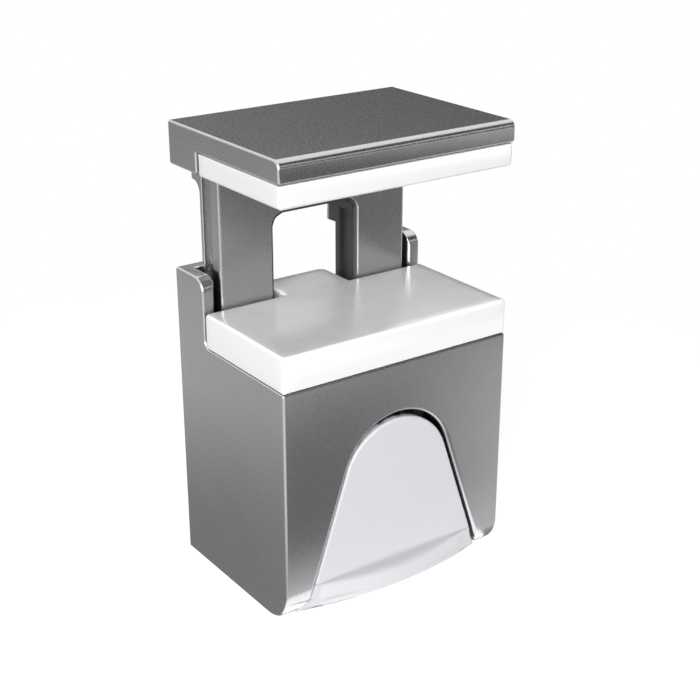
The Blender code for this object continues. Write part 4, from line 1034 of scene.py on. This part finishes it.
class SHELFSUPPORT_OT_pads(bpy.types.Operator):
    """Make the two soft pads"""

    bl_idname = "shelf_support.pads"
    bl_label = "Soft pads"

    def execute(self, context):
        pads = context.scene.shelf_support_pads
        material = pad_material("white_soft_pad", pads.colour, pads.thread)
        low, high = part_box("lower_pad")
        low.z += PEG_LENGTH
        seat = pad_mesh("seat_pad", low, high, pads.edge, low.z, TONGUE)
        add_pegs(seat, low.z + PEG_EDGE, -PEG_LENGTH - PEG_EDGE)
        low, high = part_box("upper_pad")
        high.z -= PEG_LENGTH
        grip = pad_mesh("jaw_pad", low, high, pads.edge, high.z)
        add_pegs(grip, high.z - PEG_EDGE, PEG_LENGTH + PEG_EDGE)
        for mesh, body, node in ((seat, "housing", "lower_pad"), (grip, "jaw", "upper_pad")):
            mesh.materials.append(material)
            smooth_mesh(mesh)
            piece = place_piece(mesh.name, mesh, body, node)
        return {"FINISHED"}


class SHELFSUPPORT_OT_fixings(bpy.types.Operator):
    """Finish the plate, screws, axle, cams, guides and springs"""

    bl_idname = "shelf_support.fixings"
    bl_label = "Fixings"

    def execute(self, context):
        metal = context.scene.shelf_support_metal
        steel = metal_material("zinc_plated_steel", metal.steel_colour, roughness=0.3,
                               grain_size=PLATED_GRAIN, relief=0.3)
        spring = metal_material("spring_steel", metal.spring_colour, roughness=0.32,
                                grain_size=PLATED_GRAIN, relief=0.2)
        black = plastic_material("black_guide_plastic", (0.02, 0.02, 0.021), roughness=0.45, relief=0.3)
        finish = {"zinc_plated_steel": steel, "spring_steel": spring, "black_guide_plastic": black}
        slots = {part["node"]: part["material_slot"] for part in frame["record"]["subparts"]}
        for node, thing in frame["nodes"].items():
            if slots[node] in finish:
                thing.data.materials.clear()
                thing.data.materials.append(finish[slots[node]])
        return {"FINISHED"}


class SHELFSUPPORT_OT_springs(bpy.types.Operator):
    """Make the two springs that press the jaw's crossbar down"""

    bl_idname = "shelf_support.springs"
    bl_label = "Closing springs"

    def execute(self, context):
        colour = context.scene.shelf_support_metal.spring_colour
        steel = metal_material("closing_spring_steel", colour, roughness=0.32, grain_size=PLATED_GRAIN,
                               relief=0.2)
        for side in ("left", "right"):
            name, node = f"jaw_spring_{side}", f"closing_spring_{side}"
            low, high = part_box(node)
            mesh = coil_mesh(name, low, high, SPRING_WIRE, SPRING_TURNS, steel)
            mesh.shade_smooth()
            piece = place_piece(name, mesh, None, node)
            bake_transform(piece)
        return {"FINISHED"}


class SHELFSUPPORT_OT_stage(bpy.types.Operator):
    """Set up the floor, lamps and camera"""

    bl_idname = "shelf_support.stage"
    bl_label = "Stage"

    def execute(self, context):
        stage = context.scene.shelf_support_stage
        context.scene.view_settings.view_transform = "Standard"
        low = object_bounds()[0]
        add_floor(low.z, low.y)
        context.scene.world = studio_world(stage.room_light)
        add_lamp("key", KEY_PLACE, stage.key_strength)
        fill = add_lamp("fill", FILL_PLACE, stage.fill_strength)
        fill.visible_glossy = False
        add_camera(stage)
        return {"FINISHED"}


OPERATORS = [
    SHELFSUPPORT_OT_housing,
    SHELFSUPPORT_OT_jaw,
    SHELFSUPPORT_OT_pads,
    SHELFSUPPORT_OT_lever,
    SHELFSUPPORT_OT_fixings,
    SHELFSUPPORT_OT_springs,
    SHELFSUPPORT_OT_stage,
]


class SHELFSUPPORT_PT_panel(bpy.types.Panel):
    """Lists the shelf support's pieces and settings"""

    bl_idname = "SHELFSUPPORT_PT_panel"
    bl_label = "Shelf support"
    bl_space_type = "VIEW_3D"
    bl_region_type = "UI"
    bl_category = "Shelf support"

    def draw(self, context):
        for name, settings in SETTINGS.items():
            box = self.layout.box()
            for prop in settings.__annotations__:
                box.prop(getattr(context.scene, name), prop)
        for operator in OPERATORS:
            self.layout.operator(operator.bl_idname)


def register():
    for name, settings in SETTINGS.items():
        bpy.utils.register_class(settings)
        setattr(bpy.types.Scene, name, bpy.props.PointerProperty(type=settings))
    for operator in OPERATORS:
        bpy.utils.register_class(operator)
    bpy.utils.register_class(SHELFSUPPORT_PT_panel)


def unregister():
    bpy.utils.unregister_class(SHELFSUPPORT_PT_panel)
    for operator in reversed(OPERATORS):
        bpy.utils.unregister_class(operator)
    for name, settings in SETTINGS.items():
        delattr(bpy.types.Scene, name)
        bpy.utils.unregister_class(settings)


def main():
    register()
    for operator in OPERATORS:
        getattr(bpy.ops.shelf_support, operator.bl_idname.split(".")[1])()


if __name__ == "__main__":
    main()
